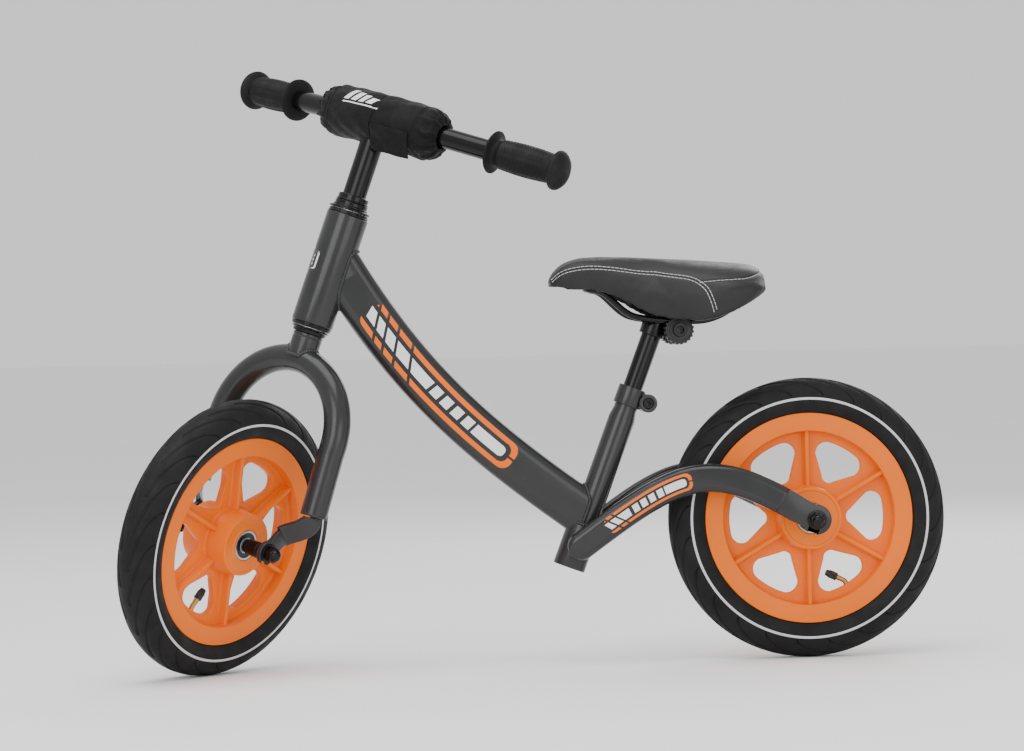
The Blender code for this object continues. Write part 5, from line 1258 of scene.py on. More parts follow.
def plate_outline(radius, slot_angle, arm_length, arm_width, arm_angle):
    slot = AXLE_RADIUS + TOUCH_GAP
    arm_half = math.degrees(math.asin(min(arm_width / 2 / radius, 0.999)))
    slot_half = math.degrees(math.asin(slot / radius))

    def local(angle, x, y):
        c, s = math.cos(math.radians(angle)), math.sin(math.radians(angle))
        return (x * c - y * s, x * s + y * c)

    points = arc((0, 0), radius, arm_angle + arm_half, slot_angle + 360 - slot_half, 48)
    points += [local(slot_angle, x, -y) for x, y in arc((0, 0), slot, 90, 270, 20)]
    points += arc((0, 0), radius, slot_angle + slot_half, arm_angle - arm_half, 24)
    points.append(local(arm_angle, arm_length, -arm_width / 2))
    points.append(local(arm_angle, arm_length, arm_width / 2))
    return points


def rear_dropout(side, word):
    end = Vector(STAY_REAR)
    outline = plate_outline(REAR_DROPOUT_RADIUS, -70, end.length, REAR_DROPOUT_ARM_WIDTH,
                            math.degrees(math.atan2(end.y, end.x)))
    inner, outer = DROPOUT_INNER, DROPOUT_INNER + DROPOUT_THICKNESS
    low, high = (-outer, -inner) if side > 0 else (inner, outer)
    piece("rear_plate_" + word, prism(outline, low, high, 0.0009), "painted_steel", "frame",
          ("rear_dropout_" + word,), REAR_HUB @ turned("X", 90))


# ---------------------------------------------------------------- fork
def fork_line(steps):
    splay = FORK_BLADE_SPLAY
    points = []
    for i in range(steps + 1):
        angle = math.radians(-splay + (180 + 2 * splay) * i / steps)
        points.append(Vector((0, FORK_ARCH_RADIUS * math.cos(angle),
                              FORK_ARCH_CENTRE + FORK_ARCH_RADIUS * math.sin(angle))))
    run = points[0].z - FORK_BLADE_END
    lean = Vector((0, math.tan(math.radians(splay)), -1))
    count = 18
    first = [points[0] + lean * (run * (count - k) / count) for k in range(count)]
    mirrored = Vector((0, -lean.y, lean.z))
    final = [points[-1] + mirrored * (run * (k + 1) / count) for k in range(count)]
    return first + points + final


def fork():
    line = fork_line(72)
    frames = frames_along(line, Vector((1, 0, 0)))
    rows = []
    tip = FORK_TUBE_RADIUS
    for point, across, up in frames:
        rows.append([tuple(point + across * a + up * b) for a, b in circle(tip, 56)])
    outer = grid(rows, caps=False)
    caps = []
    for index in (0, -1):
        point, across, up = frames[index]
        rim = []
        for radius, depth in ((tip, 0.0), (tip - 0.0006, 0.0003), (tip - 0.0016, 0.0003),
                              (tip - 0.0020, -0.0004),
                              (tip - 0.0020, -0.0200), (0.0005, -0.0202)):
            shift = Vector((0, 0, -1)) * depth
            rim.append([tuple(point + shift + across * a + up * b) for a, b in circle(radius, 56)])
        caps.append((grid(rim, caps=False), None))
    piece("fork_crown", joined([(outer, None)] + caps), "painted_steel", "fork", ("fork_arch",), FORK)
    inner = STEERER_OD / 2 - 0.0014
    top = HEAD_TUBE_TOP + STEERER_TOP
    race_seat = HEAD_TUBE_BOTTOM - CUP_FLANGE_HEIGHT - CROWN_RACE_HEIGHT
    low = FORK_ARCH_TOP - 0.0140
    outline = [(STEERER_OD / 2, top), (STEERER_OD / 2, race_seat),
               (STEERER_COLLAR_RADIUS, race_seat - 0.0002),
               (STEERER_COLLAR_RADIUS, race_seat - 0.0034), (STEERER_COLLAR_RADIUS - 0.0006,
                                                             race_seat - 0.0040),
               (STEERER_COLLAR_RADIUS, race_seat - 0.0046), (STEERER_COLLAR_RADIUS, low), (inner,
                                                                                           low), (inner, top)]
    piece("steerer", lathe(outline, 120, 0.0005), "painted_steel", "fork", ("steerer_tube",), FORK)
    loop = []
    for angle in np.linspace(0, math.tau, 120, endpoint=False):
        x, y = STEERER_COLLAR_RADIUS * math.cos(angle), STEERER_COLLAR_RADIUS * math.sin(angle)
        side = math.sqrt(max(FORK_TUBE_RADIUS ** 2 - min(abs(x), FORK_TUBE_RADIUS * 0.98) ** 2, 0))
        reach = FORK_ARCH_RADIUS + side
        loop.append(FORK @ Vector((x, y, FORK_ARCH_CENTRE + math.sqrt(reach ** 2 - y * y))))
    piece("weld_crown", bead(loop, 0.0020), "painted_steel", "fork", (), None, 80.0)
    for side, word in ((1, "left"), (-1, "right")):
        fork_plate(side, word)


def fork_plate(side, word):
    """Bent plate from a blade's end to the axle: one strip that twists outward and up into the blade."""
    drop = FORK_ARCH_CENTRE - FORK_BLADE_END
    blade_y = FORK_ARCH_RADIUS + drop * math.tan(math.radians(FORK_BLADE_SPLAY))
    inner, outer = DROPOUT_INNER, DROPOUT_INNER + DROPOUT_THICKNESS
    low, high = (-outer, -inner) if side > 0 else (inner, outer)
    outline = plate_outline(FORK_DROPOUT_RADIUS, -90, FORK_ARM_LENGTH, FORK_ARM_WIDTH, FORK_ARM_ANGLE)
    plate = prism(outline, low, high, 0.0008)
    across = Vector((math.cos(math.radians(FORK_ARM_ANGLE)), 0, math.sin(math.radians(FORK_ARM_ANGLE))))
    start = Vector((FORK_OFFSET, side * (inner + outer) / 2, 0)) + across * (FORK_ARM_LENGTH - 0.004)
    end = Vector((0, side * (blade_y - 0.001), FORK_BLADE_END - 0.0030))
    path = bezier(start, start + across * 0.008, end - Vector((0, 0, 0.016)), end, 40)
    normal = Vector((across.z, 0, -across.x))
    section = rounded_box(FORK_ARM_WIDTH * 1.30, DROPOUT_THICKNESS * 0.98, 0.0010, 5)
    arm = sweep(frames_along(path, normal), section)
    piece("fork_plate_" + word, joined([(plate, moved(FORK_OFFSET, 0, 0) @ turned("X", 90)), (arm, None)]),
          "painted_steel", "fork", ("fork_dropout_" + word,), FORK)
    tilt = math.radians(FORK_BLADE_SPLAY)
    ring = []
    for angle in np.linspace(0, math.tau, 90, endpoint=False):
        x = (FORK_TUBE_RADIUS - 0.0008) * math.cos(angle)
        y = (FORK_TUBE_RADIUS - 0.0008) * math.sin(angle)
        ring.append(FORK @ Vector((x, side * blade_y + y, FORK_BLADE_END + side * y * math.tan(tilt))))
    piece("weld_blade_" + word, bead(ring, 0.0012), "painted_steel", "fork", (), None, 80.0)


def headset():
    """Cups, races and lock nut, with their turned steps."""
    insert = HEAD_TUBE_RADIUS - 0.0044 - TOUCH_GAP
    flange = CUP_FLANGE_RADIUS
    cup = [(flange - 0.0006, TOUCH_GAP + CUP_FLANGE_HEIGHT), (flange, 0.0036), (flange, 0.0024),
           (flange + 0.0005, 0.0020), (flange + 0.0005, TOUCH_GAP), (insert, TOUCH_GAP), (insert, -0.0100),
           (STEERER_OD / 2 + RUN_GAP, -0.0100), (STEERER_OD / 2 + RUN_GAP, 0.0012), (flange - 0.0022, 0.0012),
           (flange - 0.0022, TOUCH_GAP + CUP_FLANGE_HEIGHT)]
    for word, height, flip in (("upper", HEAD_TUBE_TOP, 0), ("lower", HEAD_TUBE_BOTTOM, 180)):
        piece("cup_" + word, lathe(cup, 120, 0.0004), "black_metal", "frame", ("headset_cup_" + word,),
              HEAD @ moved(0, 0, height) @ turned("X", flip))
    bore = STEERER_OD / 2 + TOUCH_GAP
    seat = TOUCH_GAP * 2 + CUP_FLANGE_HEIGHT + RUN_GAP
    bottom = CUP_FLANGE_HEIGHT + CROWN_RACE_HEIGHT - TOUCH_GAP
    crown = [(flange - 0.0012, -seat), (flange - 0.0012, -seat - 0.0014),
             (RACE_RADIUS + 0.0006, -seat - 0.0022),
             (RACE_RADIUS, -bottom), (bore, -bottom), (bore, -seat)]
    piece("race_lower", lathe(crown, 120, 0.0004), "black_metal", "fork", ("crown_race",),
          FORK @ moved(0, 0, HEAD_TUBE_BOTTOM))
    top = seat + 0.0095
    race = [(bore, top), (RACE_RADIUS - 0.0008, top), (RACE_RADIUS, top - 0.0008),
            (RACE_RADIUS, seat + 0.0050),
            (RACE_RADIUS + 0.0012, seat + 0.0046), (RACE_RADIUS + 0.0012, seat + 0.0030),
            (RACE_SKIRT_RADIUS, seat + 0.0018), (RACE_SKIRT_RADIUS, seat), (bore, seat)]
    piece("race_upper", lathe(race, 120, 0.0004), "black_metal", "fork", ("headset_adjusting_race",),
          FORK @ moved(0, 0, HEAD_TUBE_TOP))
    base = top + TOUCH_GAP
    high = base + 0.0068
    lock = [(bore, high), (LOCK_NUT_RADIUS - 0.0008, high), (LOCK_NUT_RADIUS, high - 0.0008),
            (LOCK_NUT_RADIUS, base + 0.0013), (RACE_RADIUS, base + 0.0010), (RACE_RADIUS, base), (bore, base)]
    piece("lock_nut", lathe(lock, 120, 0.0003), "black_metal", "fork", ("headset_lock_nut",),
          FORK @ moved(0, 0, HEAD_TUBE_TOP))


# ---------------------------------------------------------------- handlebar
def bar_point(distance):
    angle = math.radians(BAR_SWEEP)
    bend = BAR_BEND_RADIUS * math.tan(angle)
    side = 1 if distance >= 0 else -1
    reach = abs(distance)
    if reach < bend:
        return Vector((-reach * reach / (2 * bend) * math.sin(angle), side * reach, 0))
    setback = bend / 2 * math.sin(angle) + (reach - bend) * math.sin(angle)
    return Vector((-setback, side * (bend + (reach - bend) * math.cos(angle)), 0))


def bar_matrix(side):
    direction = (bar_point(side * 0.2) - bar_point(side * 0.1)).normalized()
    start = bar_point(side * 0.1) - direction * 0.1
    return Matrix.Translation(start) @ direction.to_track_quat("Z", "X").to_matrix().to_4x4()


def handlebar():
    shares = np.concatenate([np.linspace(-1, -0.14, 12), np.linspace(-0.12, 0.12, 25),
                             np.linspace(0.14, 1, 12)])
    points = [bar_point(BAR_HALF_LENGTH * share) for share in shares]
    piece("bar", sweep(frames_along(points, Vector((1, 0, 0))), circle(BAR_RADIUS, 64)), "black_metal",
          "handlebar",
          ("handlebar_tube",), BAR)
    bottom = HEAD_TUBE_TOP + STEERER_TOP - 0.0900 - BAR_HEIGHT
    stem = [(STEM_RADIUS, -0.004), (STEM_RADIUS, bottom), (STEM_RADIUS - 0.0019, bottom),
            (STEM_RADIUS - 0.0019, -0.004)]
    piece("quill", lathe(stem, 96, 0.0004), "black_metal", "handlebar", ("stem_tube",), BAR)
    for side, word in ((1, "left"), (-1, "right")):
        piece("handgrip_" + word, grip_mesh(), "grip_rubber", "handlebar", ("grip_" + word,),
              BAR @ bar_matrix(side), 50.0)


def grip_mesh():
    """Rubber grip: inner flange, neck, bulged barrel with rows of low pads, mushroom end."""
    start, cap = GRIP_START, GRIP_END
    outline = [
        (BAR_RADIUS + 0.0003, start), (GRIP_FLANGE_RADIUS - 0.0060, start + 0.0006),
        (GRIP_FLANGE_RADIUS - 0.0012, start + 0.0018), (GRIP_FLANGE_RADIUS, start + 0.0030),
        (GRIP_FLANGE_RADIUS, start + 0.0042), (GRIP_FLANGE_RADIUS - 0.0016, start + 0.0052),
        (GRIP_RADIUS, start + 0.0060), (GRIP_NECK_RADIUS, start + 0.0080), (GRIP_NECK_RADIUS, start + 0.0120),
        (GRIP_RADIUS - 0.0004, start + 0.0136),
    ]
    barrel = []
    low, high = start + 0.0150, cap - 0.0160
    for k in range(97):
        share = k / 96
        bulge = GRIP_RADIUS + 0.0012 * math.sin(math.pi * share)
        barrel.append((bulge, low + (high - low) * share))
    tail = [
        (GRIP_RADIUS - 0.0006, cap - 0.0140), (GRIP_RADIUS - 0.0004, cap - 0.0120),
        (GRIP_CAP_RADIUS - 0.0022, cap - 0.0102), (GRIP_CAP_RADIUS - 0.0004, cap - 0.0086),
        (GRIP_CAP_RADIUS, cap - 0.0068), (GRIP_CAP_RADIUS - 0.0006, cap - 0.0044),
        (GRIP_CAP_RADIUS - 0.0026, cap - 0.0018), (GRIP_CAP_RADIUS * 0.72, cap + 0.0012),
        (GRIP_CAP_RADIUS * 0.45, cap + 0.0032), (GRIP_CAP_RADIUS * 0.18, cap + 0.0042), (0.0004,
                                                                                         cap + 0.0045),
    ]
    steps = 160
    turn = np.linspace(0, math.tau, steps, endpoint=False)
    rows = []
    for radius, height in outline + barrel + tail:
        r = np.full(steps, radius)
        if low <= height <= high:
            share = (height - low) / (high - low)
            fade = min(share, 1 - share) * 14
            ring = 0.5 + 0.5 * math.cos(math.tau * share * 17)
            column = np.clip(np.cos(turn * 10) * 3 + 1.6, 0, 1)
            r = r - 0.00055 * min(fade, 1.0) * (ring ** 3 * column + (1 - column) * 0.9)
        rows.append(np.stack([r * np.cos(turn), r * np.sin(turn), np.full(steps, height)], -1))
    return grid(rows)


# ---------------------------------------------------------------- soft pieces
def inflated(mesh_data, voxel, pressure, cap, held=None):
    """Swell a closed skin with cloth pressure.

    cap limits how far a point moves, and held is a test for the points that stay.
    """
    cushion = bpy.data.objects.new("cushion_form", mesh_data)
    bpy.context.collection.objects.link(cushion)
    bpy.context.view_layer.objects.active = cushion
    remesh = cushion.modifiers.new("voxels", "REMESH")
    remesh.mode = "VOXEL"
    remesh.voxel_size = voxel
    graph = bpy.context.evaluated_depsgraph_get()
    form = bpy.data.meshes.new_from_object(cushion.evaluated_get(graph))
    cushion.modifiers.remove(remesh)
    cushion.data = form
    before = np.array([v.co for v in form.vertices])
    pins = [i for i, co in enumerate(before) if held and held(co)]
    cloth = cushion.modifiers.new("swell", "CLOTH")
    cloth.settings.quality = 5
    cloth.settings.mass = 0.3
    cloth.settings.tension_stiffness = 18
    cloth.settings.compression_stiffness = 18
    cloth.settings.bending_stiffness = 0.4
    cloth.settings.use_pressure = True
    cloth.settings.uniform_pressure_force = pressure
    cloth.settings.effector_weights.gravity = 0
    if pins:
        group = cushion.vertex_groups.new(name="held")
        group.add(pins, 1.0, "REPLACE")
        cloth.settings.vertex_group_mass = "held"
    for number in range(1, 21):
        bpy.context.scene.frame_set(number)
    graph = bpy.context.evaluated_depsgraph_get()
    after = np.array([v.co for v in cushion.evaluated_get(graph).data.vertices])
    move = after - before
    length = np.linalg.norm(move, axis=1)[:, None]
    move *= np.minimum(1.0, cap / np.maximum(length, 1e-9))
    cushion.modifiers.remove(cloth)
    form.vertices.foreach_set("co", (before + move).astype(np.float32).ravel())
    bpy.context.scene.frame_set(1)
    form.update()
    even = cushion.modifiers.new("even", "SMOOTH")
    even.factor = 0.5
    even.iterations = 5
    fine = cushion.modifiers.new("fine", "SUBSURF")
    fine.levels = 2
    fine.render_levels = 2
    graph = bpy.context.evaluated_depsgraph_get()
    result = bpy.data.meshes.new_from_object(cushion.evaluated_get(graph))
    bpy.data.objects.remove(cushion)
    result.materials.clear()
    return result


def pad_form():
    """The sleeve's closed form round the bar, slightly slim so that it can swell."""
    steps = 96
    turn = np.linspace(0, math.tau, steps, endpoint=False)
    shares = np.linspace(-1, 1, 90)
    points = [bar_point(share * PAD_LENGTH / 2) for share in shares]
    frames = frames_along(points, Vector((1, 0, 0)))
    rows = []
    for (point, across, up), share in zip(frames, shares):
        end = min((1 - abs(share)) / 0.20, 1.0)
        body = PAD_RADIUS * 0.94
        neck = PAD_END_RADIUS - 0.0025
        radius = neck + (body - neck) * math.sin(end * math.pi / 2) ** 0.8
        rows.append([tuple(point + across * (radius * math.cos(a)) + up * (radius * math.sin(a)))
                     for a in turn])
    for point, across, up in reversed(frames):
        rows.append([tuple(point + across * (PAD_BORE * math.cos(a)) + up * (PAD_BORE * math.sin(a)))
                     for a in turn])
    return grid(rows, closed=True)


def gather(mesh_data):
    """Elastic gathers at the sleeve's ends, a ring seam near each and soft creases between them."""
    count = len(mesh_data.vertices)
    co = np.zeros(count * 3)
    mesh_data.vertices.foreach_get("co", co)
    co = co.reshape(-1, 3)
    half = PAD_LENGTH / 2
    bend = BAR_BEND_RADIUS * math.tan(math.radians(BAR_SWEEP))
    reach = np.abs(co[:, 1])
    setback = np.where(reach < bend, reach ** 2 / (2 * bend), bend / 2 + (reach - bend)) \
        * math.sin(math.radians(BAR_SWEEP))
    x = co[:, 0] + setback
    z = co[:, 2]
    radius = np.hypot(x, z)
    angle = np.arctan2(z, x)
    share = co[:, 1] / half
    skin = np.clip((radius - PAD_BORE - 0.002) / 0.004, 0, 1)
    end = np.clip((np.abs(share) - 0.70) / 0.26, 0, 1)
    end = end * end * (3 - 2 * end)
    wander = 0.6 * np.sin(share * 23) + 0.5 * np.sin(angle * 3 + share * 9)
    folds = np.cos(angle * 13 + wander) + 0.5 * np.cos(angle * 23 + 2.2 * wander + np.sign(share))
    move = -0.0017 * end * (1 - folds) * skin
    ring = np.exp(-((np.abs(share) - 0.76) / 0.016) ** 2)
    move -= 0.0010 * ring * skin
    cuff = np.exp(-((np.abs(share) - 0.95) / 0.022) ** 2)
    move += 0.0016 * cuff * skin
    crease = np.sin(share * 14 + 2.3 * np.cos(angle * 2)) * np.sin(angle * 5 + share * 6)
    move += 0.0007 * crease * (1 - end) * skin
    seam = np.exp(-((share - 0.12) / 0.012) ** 2)
    move -= 0.0009 * seam * skin
    flap = np.clip((np.cos(angle + math.pi / 2) - 0.2) * 2, 0, 1) * np.clip((share - 0.12) * 6, 0, 1)
    move += 0.0008 * flap * (1 - end) * skin
    scale = (radius + move) / np.maximum(radius, 1e-6)
    co[:, 0] = x * scale - setback
    co[:, 2] = z * scale
    mesh_data.vertices.foreach_set("co", co.astype(np.float32).ravel())
    mesh_data.update()


def on_pad(tree, distance, angle, lift):
    """A point on the sleeve's surface, found by looking in towards the bar."""
    centre = bar_point(distance)
    out = Vector((math.cos(angle), 0, math.sin(angle)))
    hit = tree.ray_cast(centre + out * 0.08, -out)[0]
    return (hit if hit is not None else centre + out * PAD_RADIUS) + out * lift


def stitches(line):
    """Small thread stitches along a line of points."""
    path = np.array([tuple(p) for p in line])
    length = np.concatenate([[0], np.cumsum(np.linalg.norm(np.diff(path, axis=0), axis=1))])
    parts = []
    at = 0.0
    while at + STITCH_LENGTH < length[-1]:
        wanted = at + STITCH_LENGTH * np.array([0.0, 0.2, 0.5, 0.8, 1.0])
        points = np.stack([np.interp(wanted, length, path[:, axis]) for axis in range(3)], -1)
        parts.append((rod([Vector(p) for p in points], STITCH_RADIUS, 6), None))
        at += STITCH_LENGTH + STITCH_GAP
    return joined(parts)


def bar_pad():
    pad = inflated(pad_form(), 0.0038, 3.0, 0.006)
    gather(pad)
    tree = BVHTree.FromPolygons([v.co for v in pad.vertices], [p.vertices for p in pad.polygons])
    sleeve = piece("bar_sleeve", pad, "pad_fabric", "handlebar", ("bar_pad",), None, 80.0)
    sleeve.matrix_world = BAR
    half = PAD_LENGTH / 2
    rings = []
    for distance in (0.12 * half - 0.0012, 0.12 * half + 0.0012):
        line = [on_pad(tree, distance, a, 0.0001) for a in np.radians(np.linspace(-80, 30, 90))]
        rings.append((stitches(line), None))
    for sign in (-1, 1):
        line = [on_pad(tree, sign * 0.73 * half, a, 0.0001) for a in np.radians(np.linspace(0, 360, 160))]
        rings.append((stitches(line), None))
    thread = piece("sleeve_stitching", joined(rings), "pad_fabric", "handlebar", (), BAR, 80.0)
    thread.data.materials[0] = LOOKS["grip_rubber"]
    flap(tree)
    mark = []
    for first, last, low, high in ((-0.50, -0.40, 22, 52), (-0.35, -0.25, 22, 48), (-0.20, -0.10, 22, 44),
                                   (-0.05, 0.05, 22, 40), (-0.50, 0.16, 14, 17)):
        rows = []
        for lift in (-0.0008, 0.00025):
            face = []
            for v in np.linspace(low, high, 7):
                lean = (v - low) * 0.0035
                face.append([tuple(on_pad(tree, (s + lean) * half, math.radians(v), lift))
                             for s in np.linspace(first, last, 12)])
            rows.append(np.array(face))
        bottom, top = rows
        edge = [np.concatenate([f[0], f[1:, -1], f[-1, -2::-1], f[-2:0:-1, 0]]) for f in (bottom, top)]
        mark += [(grid(top, around=False), None), (grid(edge, caps=False), None)]
    piece("sleeve_mark", joined(mark), "white_ink", "handlebar", (), BAR, 60.0)


def flap(tree):
    """The closing flap, a flat double layer of cloth that lies under the sleeve's outer half."""
    half = PAD_LENGTH / 2
    rows = []
    for lift in (0.0003, 0.0016):
        face = []
        for share in np.linspace(0, 1, 26):
            angle = math.radians(-16 - 52 * share)
            stand = lift + 0.0060 * share ** 3 + 0.0005 * math.sin(share * 9)
            face.append([tuple(on_pad(tree, s * half, angle, stand)) for s in np.linspace(0.14, 0.70, 50)])
        rows.append(np.array(face))
    bottom, top = rows
    edge = [np.concatenate([f[0], f[1:, -1], f[-1, -2::-1], f[-2:0:-1, 0]]) for f in (bottom, top)]
    cloth = joined([(grid(top, around=False), None), (grid(bottom, around=False), None),
                    (grid(edge, caps=False), None)])
    shown = piece("sleeve_flap", cloth, "pad_fabric", "handlebar", (), BAR, 60.0)
    return shown


# ---------------------------------------------------------------- seat
SADDLE_NOSE = SADDLE_NOSE_WIDTH / 2
SADDLE_TAIL = SADDLE_WIDTH / 2
SADDLE_STATIONS = (
    # x, half width, crown height, edge height, belly height
    (0.1370, SADDLE_NOSE * 0.30, 0.0540, 0.0515, 0.0490),
    (0.1330, SADDLE_NOSE * 0.62, 0.0620, 0.0560, 0.0470),
    (0.1220, SADDLE_NOSE * 0.90, 0.0725, 0.0640, 0.0460),
    (0.1050, SADDLE_NOSE * 1.02, 0.0780, 0.0680, 0.0450),
    (0.0850, SADDLE_NOSE * 1.10, 0.0785, 0.0690, 0.0420),
    (0.0600, SADDLE_NOSE * 1.28, 0.0765, 0.0660, 0.0330),
    (0.0300, SADDLE_NOSE * 1.62, 0.0745, 0.0610, 0.0170),
    (0.0000, SADDLE_TAIL * 0.78, 0.0725, 0.0560, 0.0110),
    (-0.0250, SADDLE_TAIL * 0.93, 0.0710, 0.0530, 0.0100),
    (-0.0450, SADDLE_TAIL, 0.0700, 0.0510, 0.0150),
    (-0.0650, SADDLE_TAIL * 0.99, 0.0690, 0.0500, 0.0240),
    (-0.0800, SADDLE_TAIL * 0.92, 0.0675, 0.0480, 0.0320),
    (-0.0890, SADDLE_TAIL * 0.78, 0.0630, 0.0450, 0.0370),
    (-0.0920, SADDLE_TAIL * 0.62, 0.0560, 0.0440, 0.0400),
)


def saddle_floor(station):
    _, _, crown, edge, belly = station
    return min(belly + min(0.0100, 0.3 * (crown - belly)), edge - 0.004)


def saddle_floor_at(x):
    for ahead, behind in zip(SADDLE_STATIONS, SADDLE_STATIONS[1:]):
        if behind[0] <= x <= ahead[0]:
            share = (x - behind[0]) / (ahead[0] - behind[0])
            return saddle_floor(behind) * share + saddle_floor(ahead) * (1 - share)
    return saddle_floor(SADDLE_STATIONS[-1])


def saddle_section(station):
    x, half, crown, edge, belly = station
    shape = (
        (0.0, crown), (0.38, crown - 0.0015), (0.70, crown - 0.35 * (crown - edge)), (0.90, edge + 0.0010),
        (1.0, edge - 0.30 * (edge - belly)), (0.98, belly + 0.25 * (edge - belly)), (0.93, belly),
        (0.80, belly + 0.0002), (SADDLE_RECESS, saddle_floor(station)),
    )
    right = [(half * share, height) for share, height in shape]
    return [(x, y, z) for y, z in right + [(-y, z) for y, z in reversed(right) if y > 0]]


def saddle_form():
    """The padding's closed form from smoothed stations and smoothed rings."""
    control = np.array([saddle_section(s) for s in SADDLE_STATIONS])
    wanted = np.linspace(0, 1, 90)
    columns = []
    for j in range(control.shape[1]):
        line = control[:, j]
        padded = np.vstack([2 * line[0] - line[1], line, 2 * line[-1] - line[-2]])
        points = []
        for w in wanted:
            k = min(int(w * (len(line) - 1)), len(line) - 2)
            t = w * (len(line) - 1) - k
            a, b, c, d = padded[k:k + 4]
            points.append(0.5 * (2 * b + (c - a) * t + (2 * a - 5 * b + 4 * c - d) * t * t
                                 + (3 * b - a - 3 * c + d) * t ** 3))
        columns.append(points)
    rings = np.array(columns).transpose(1, 0, 2)
    rows = []
    for ring in rings:
        count = len(ring)
        fine = []
        for k in range(count):
            a, b, c, d = ring[k - 1], ring[k], ring[(k + 1) % count], ring[(k + 2) % count]
            for t in (0, 0.25, 0.5, 0.75):
                fine.append(0.5 * (2 * b + (c - a) * t + (2 * a - 5 * b + 4 * c - d) * t * t
                                   + (3 * b - a - 3 * c + d) * t ** 3))
        rows.append(fine)
    return grid(rows)


def seam_points():
    """The stitched seam down one side: nose tip, along the upper side, and down to the skirt at the back."""
    return [(0.1335, 0.0120, 0.0545), (0.1240, 0.0215, 0.0640), (0.1000, 0.0262, 0.0690),
            (0.0700, 0.0310, 0.0690),
            (0.0350, 0.0405, 0.0660), (0.0100, 0.0540, 0.0630), (-0.0080, 0.0620, 0.0580),
            (-0.0220, 0.0680, 0.0450), (-0.0290, 0.0690, 0.0310), (-0.0330, 0.0680, 0.0180)]


def saddle():
    cover = inflated(saddle_form(), 0.0030, 2.0, 0.0030,
                     lambda co: co[2] < 0.030 and abs(co[1]) < SADDLE_TAIL * SADDLE_RECESS * 0.9)
    tree = BVHTree.FromPolygons([v.co for v in cover.vertices], [p.vertices for p in cover.polygons])
    lines = []
    for side in (1, -1):
        lines.append([Vector((x, side * y, z)) for x, y, z in seam_points()])
        lines.append([Vector((x, side * y, z)) for x, y, z in
                      ((-0.0160, 0.0655, 0.0530), (-0.0450, 0.0690, 0.0560), (-0.0700, 0.0640, 0.0570),
                       (-0.0840, 0.0480, 0.0590), (-0.0885, 0.0240, 0.0610), (-0.0890, 0.0, 0.0618))])
    seams = []
    for line in lines:
        snapped = []
        for point in resampled(line, 150):
            hit, normal, _, _ = tree.find_nearest(point)
            snapped.append((hit, normal))
        seams.append(snapped)
    press_seams(cover, [hit for seam in seams for hit, _ in seam], 0.0011, 0.0016)
    tree = BVHTree.FromPolygons([v.co for v in cover.vertices], [p.vertices for p in cover.polygons])
    skin = piece("saddle_skin", cover, "saddle_skin", "saddle", ("saddle_cover",), TILT, 80.0)
    threads = []
    for number, seam in enumerate(seams):
        for offset in ((-0.0017, 0.0017) if number % 2 == 0 else (0.0,)):
            line = []
            for k, (hit, normal) in enumerate(seam):
                along = (seam[min(k + 1, len(seam) - 1)][0] - seam[max(k - 1, 0)][0]).normalized()
                side = along.cross(normal).normalized()
                near, out, _, _ = tree.find_nearest(hit + side * offset)
                line.append(near + out * 0.0001)
            threads.append((stitches(line), None))
    piece("saddle_stitching", joined(threads), "thread", "saddle", (), TILT, 80.0)


def press_seams(mesh_data, line, depth, width):
    """Draw a mesh in along lines of points, as a sewn seam does."""
    from_line = np.array([tuple(p) for p in line])
    count = len(mesh_data.vertices)
    co = np.zeros(count * 3)
    normal = np.zeros(count * 3)
    mesh_data.vertices.foreach_get("co", co)
    mesh_data.vertices.foreach_get("normal", normal)
    co, normal = co.reshape(-1, 3), normal.reshape(-1, 3)
    nearest = np.full(count, 1.0)
    for start in range(0, len(from_line), 60):
        chunk = from_line[start:start + 60]
        distance = np.linalg.norm(co[:, None] - chunk[None], axis=2).min(1)
        nearest = np.minimum(nearest, distance)
    co -= normal * (depth * np.exp(-(nearest / width) ** 2))[:, None]
    mesh_data.vertices.foreach_set("co", co.astype(np.float32).ravel())
    mesh_data.update()


def rails():
    side = RAIL_SPACING / 2
    tail_x, nose_x = -0.0640, 0.0960
    under = SADDLE_SHELL_THICKNESS + RAIL_RADIUS + 2 * TOUCH_GAP + 0.0001
    nose_z = saddle_floor_at(nose_x) - under
    half = [Vector((tail_x * 0.86, side * 1.04, 0.0200)), Vector((-0.0460, side * 1.03, 0.0150)),
            Vector((-0.0320, side, 0.0102)), Vector((-0.0160, side, 0.0088)), Vector((0.0140, side, 0.0105)),
            Vector((0.0400, side, 0.0135)), Vector((0.0560, side * 0.92, 0.0200)),
            Vector((nose_x - 0.0180, side * 0.70, nose_z - 0.0055)),
            Vector((nose_x - 0.0050, side * 0.50, nose_z - 0.0010)), Vector((nose_x, side * 0.20, nose_z))]
    line = half + [Vector((p.x, -p.y, p.z)) for p in reversed(half)]
    piece("rails", rod(line, RAIL_RADIUS, 24, 260), "black_metal", "saddle", ("saddle_rails",), TILT)


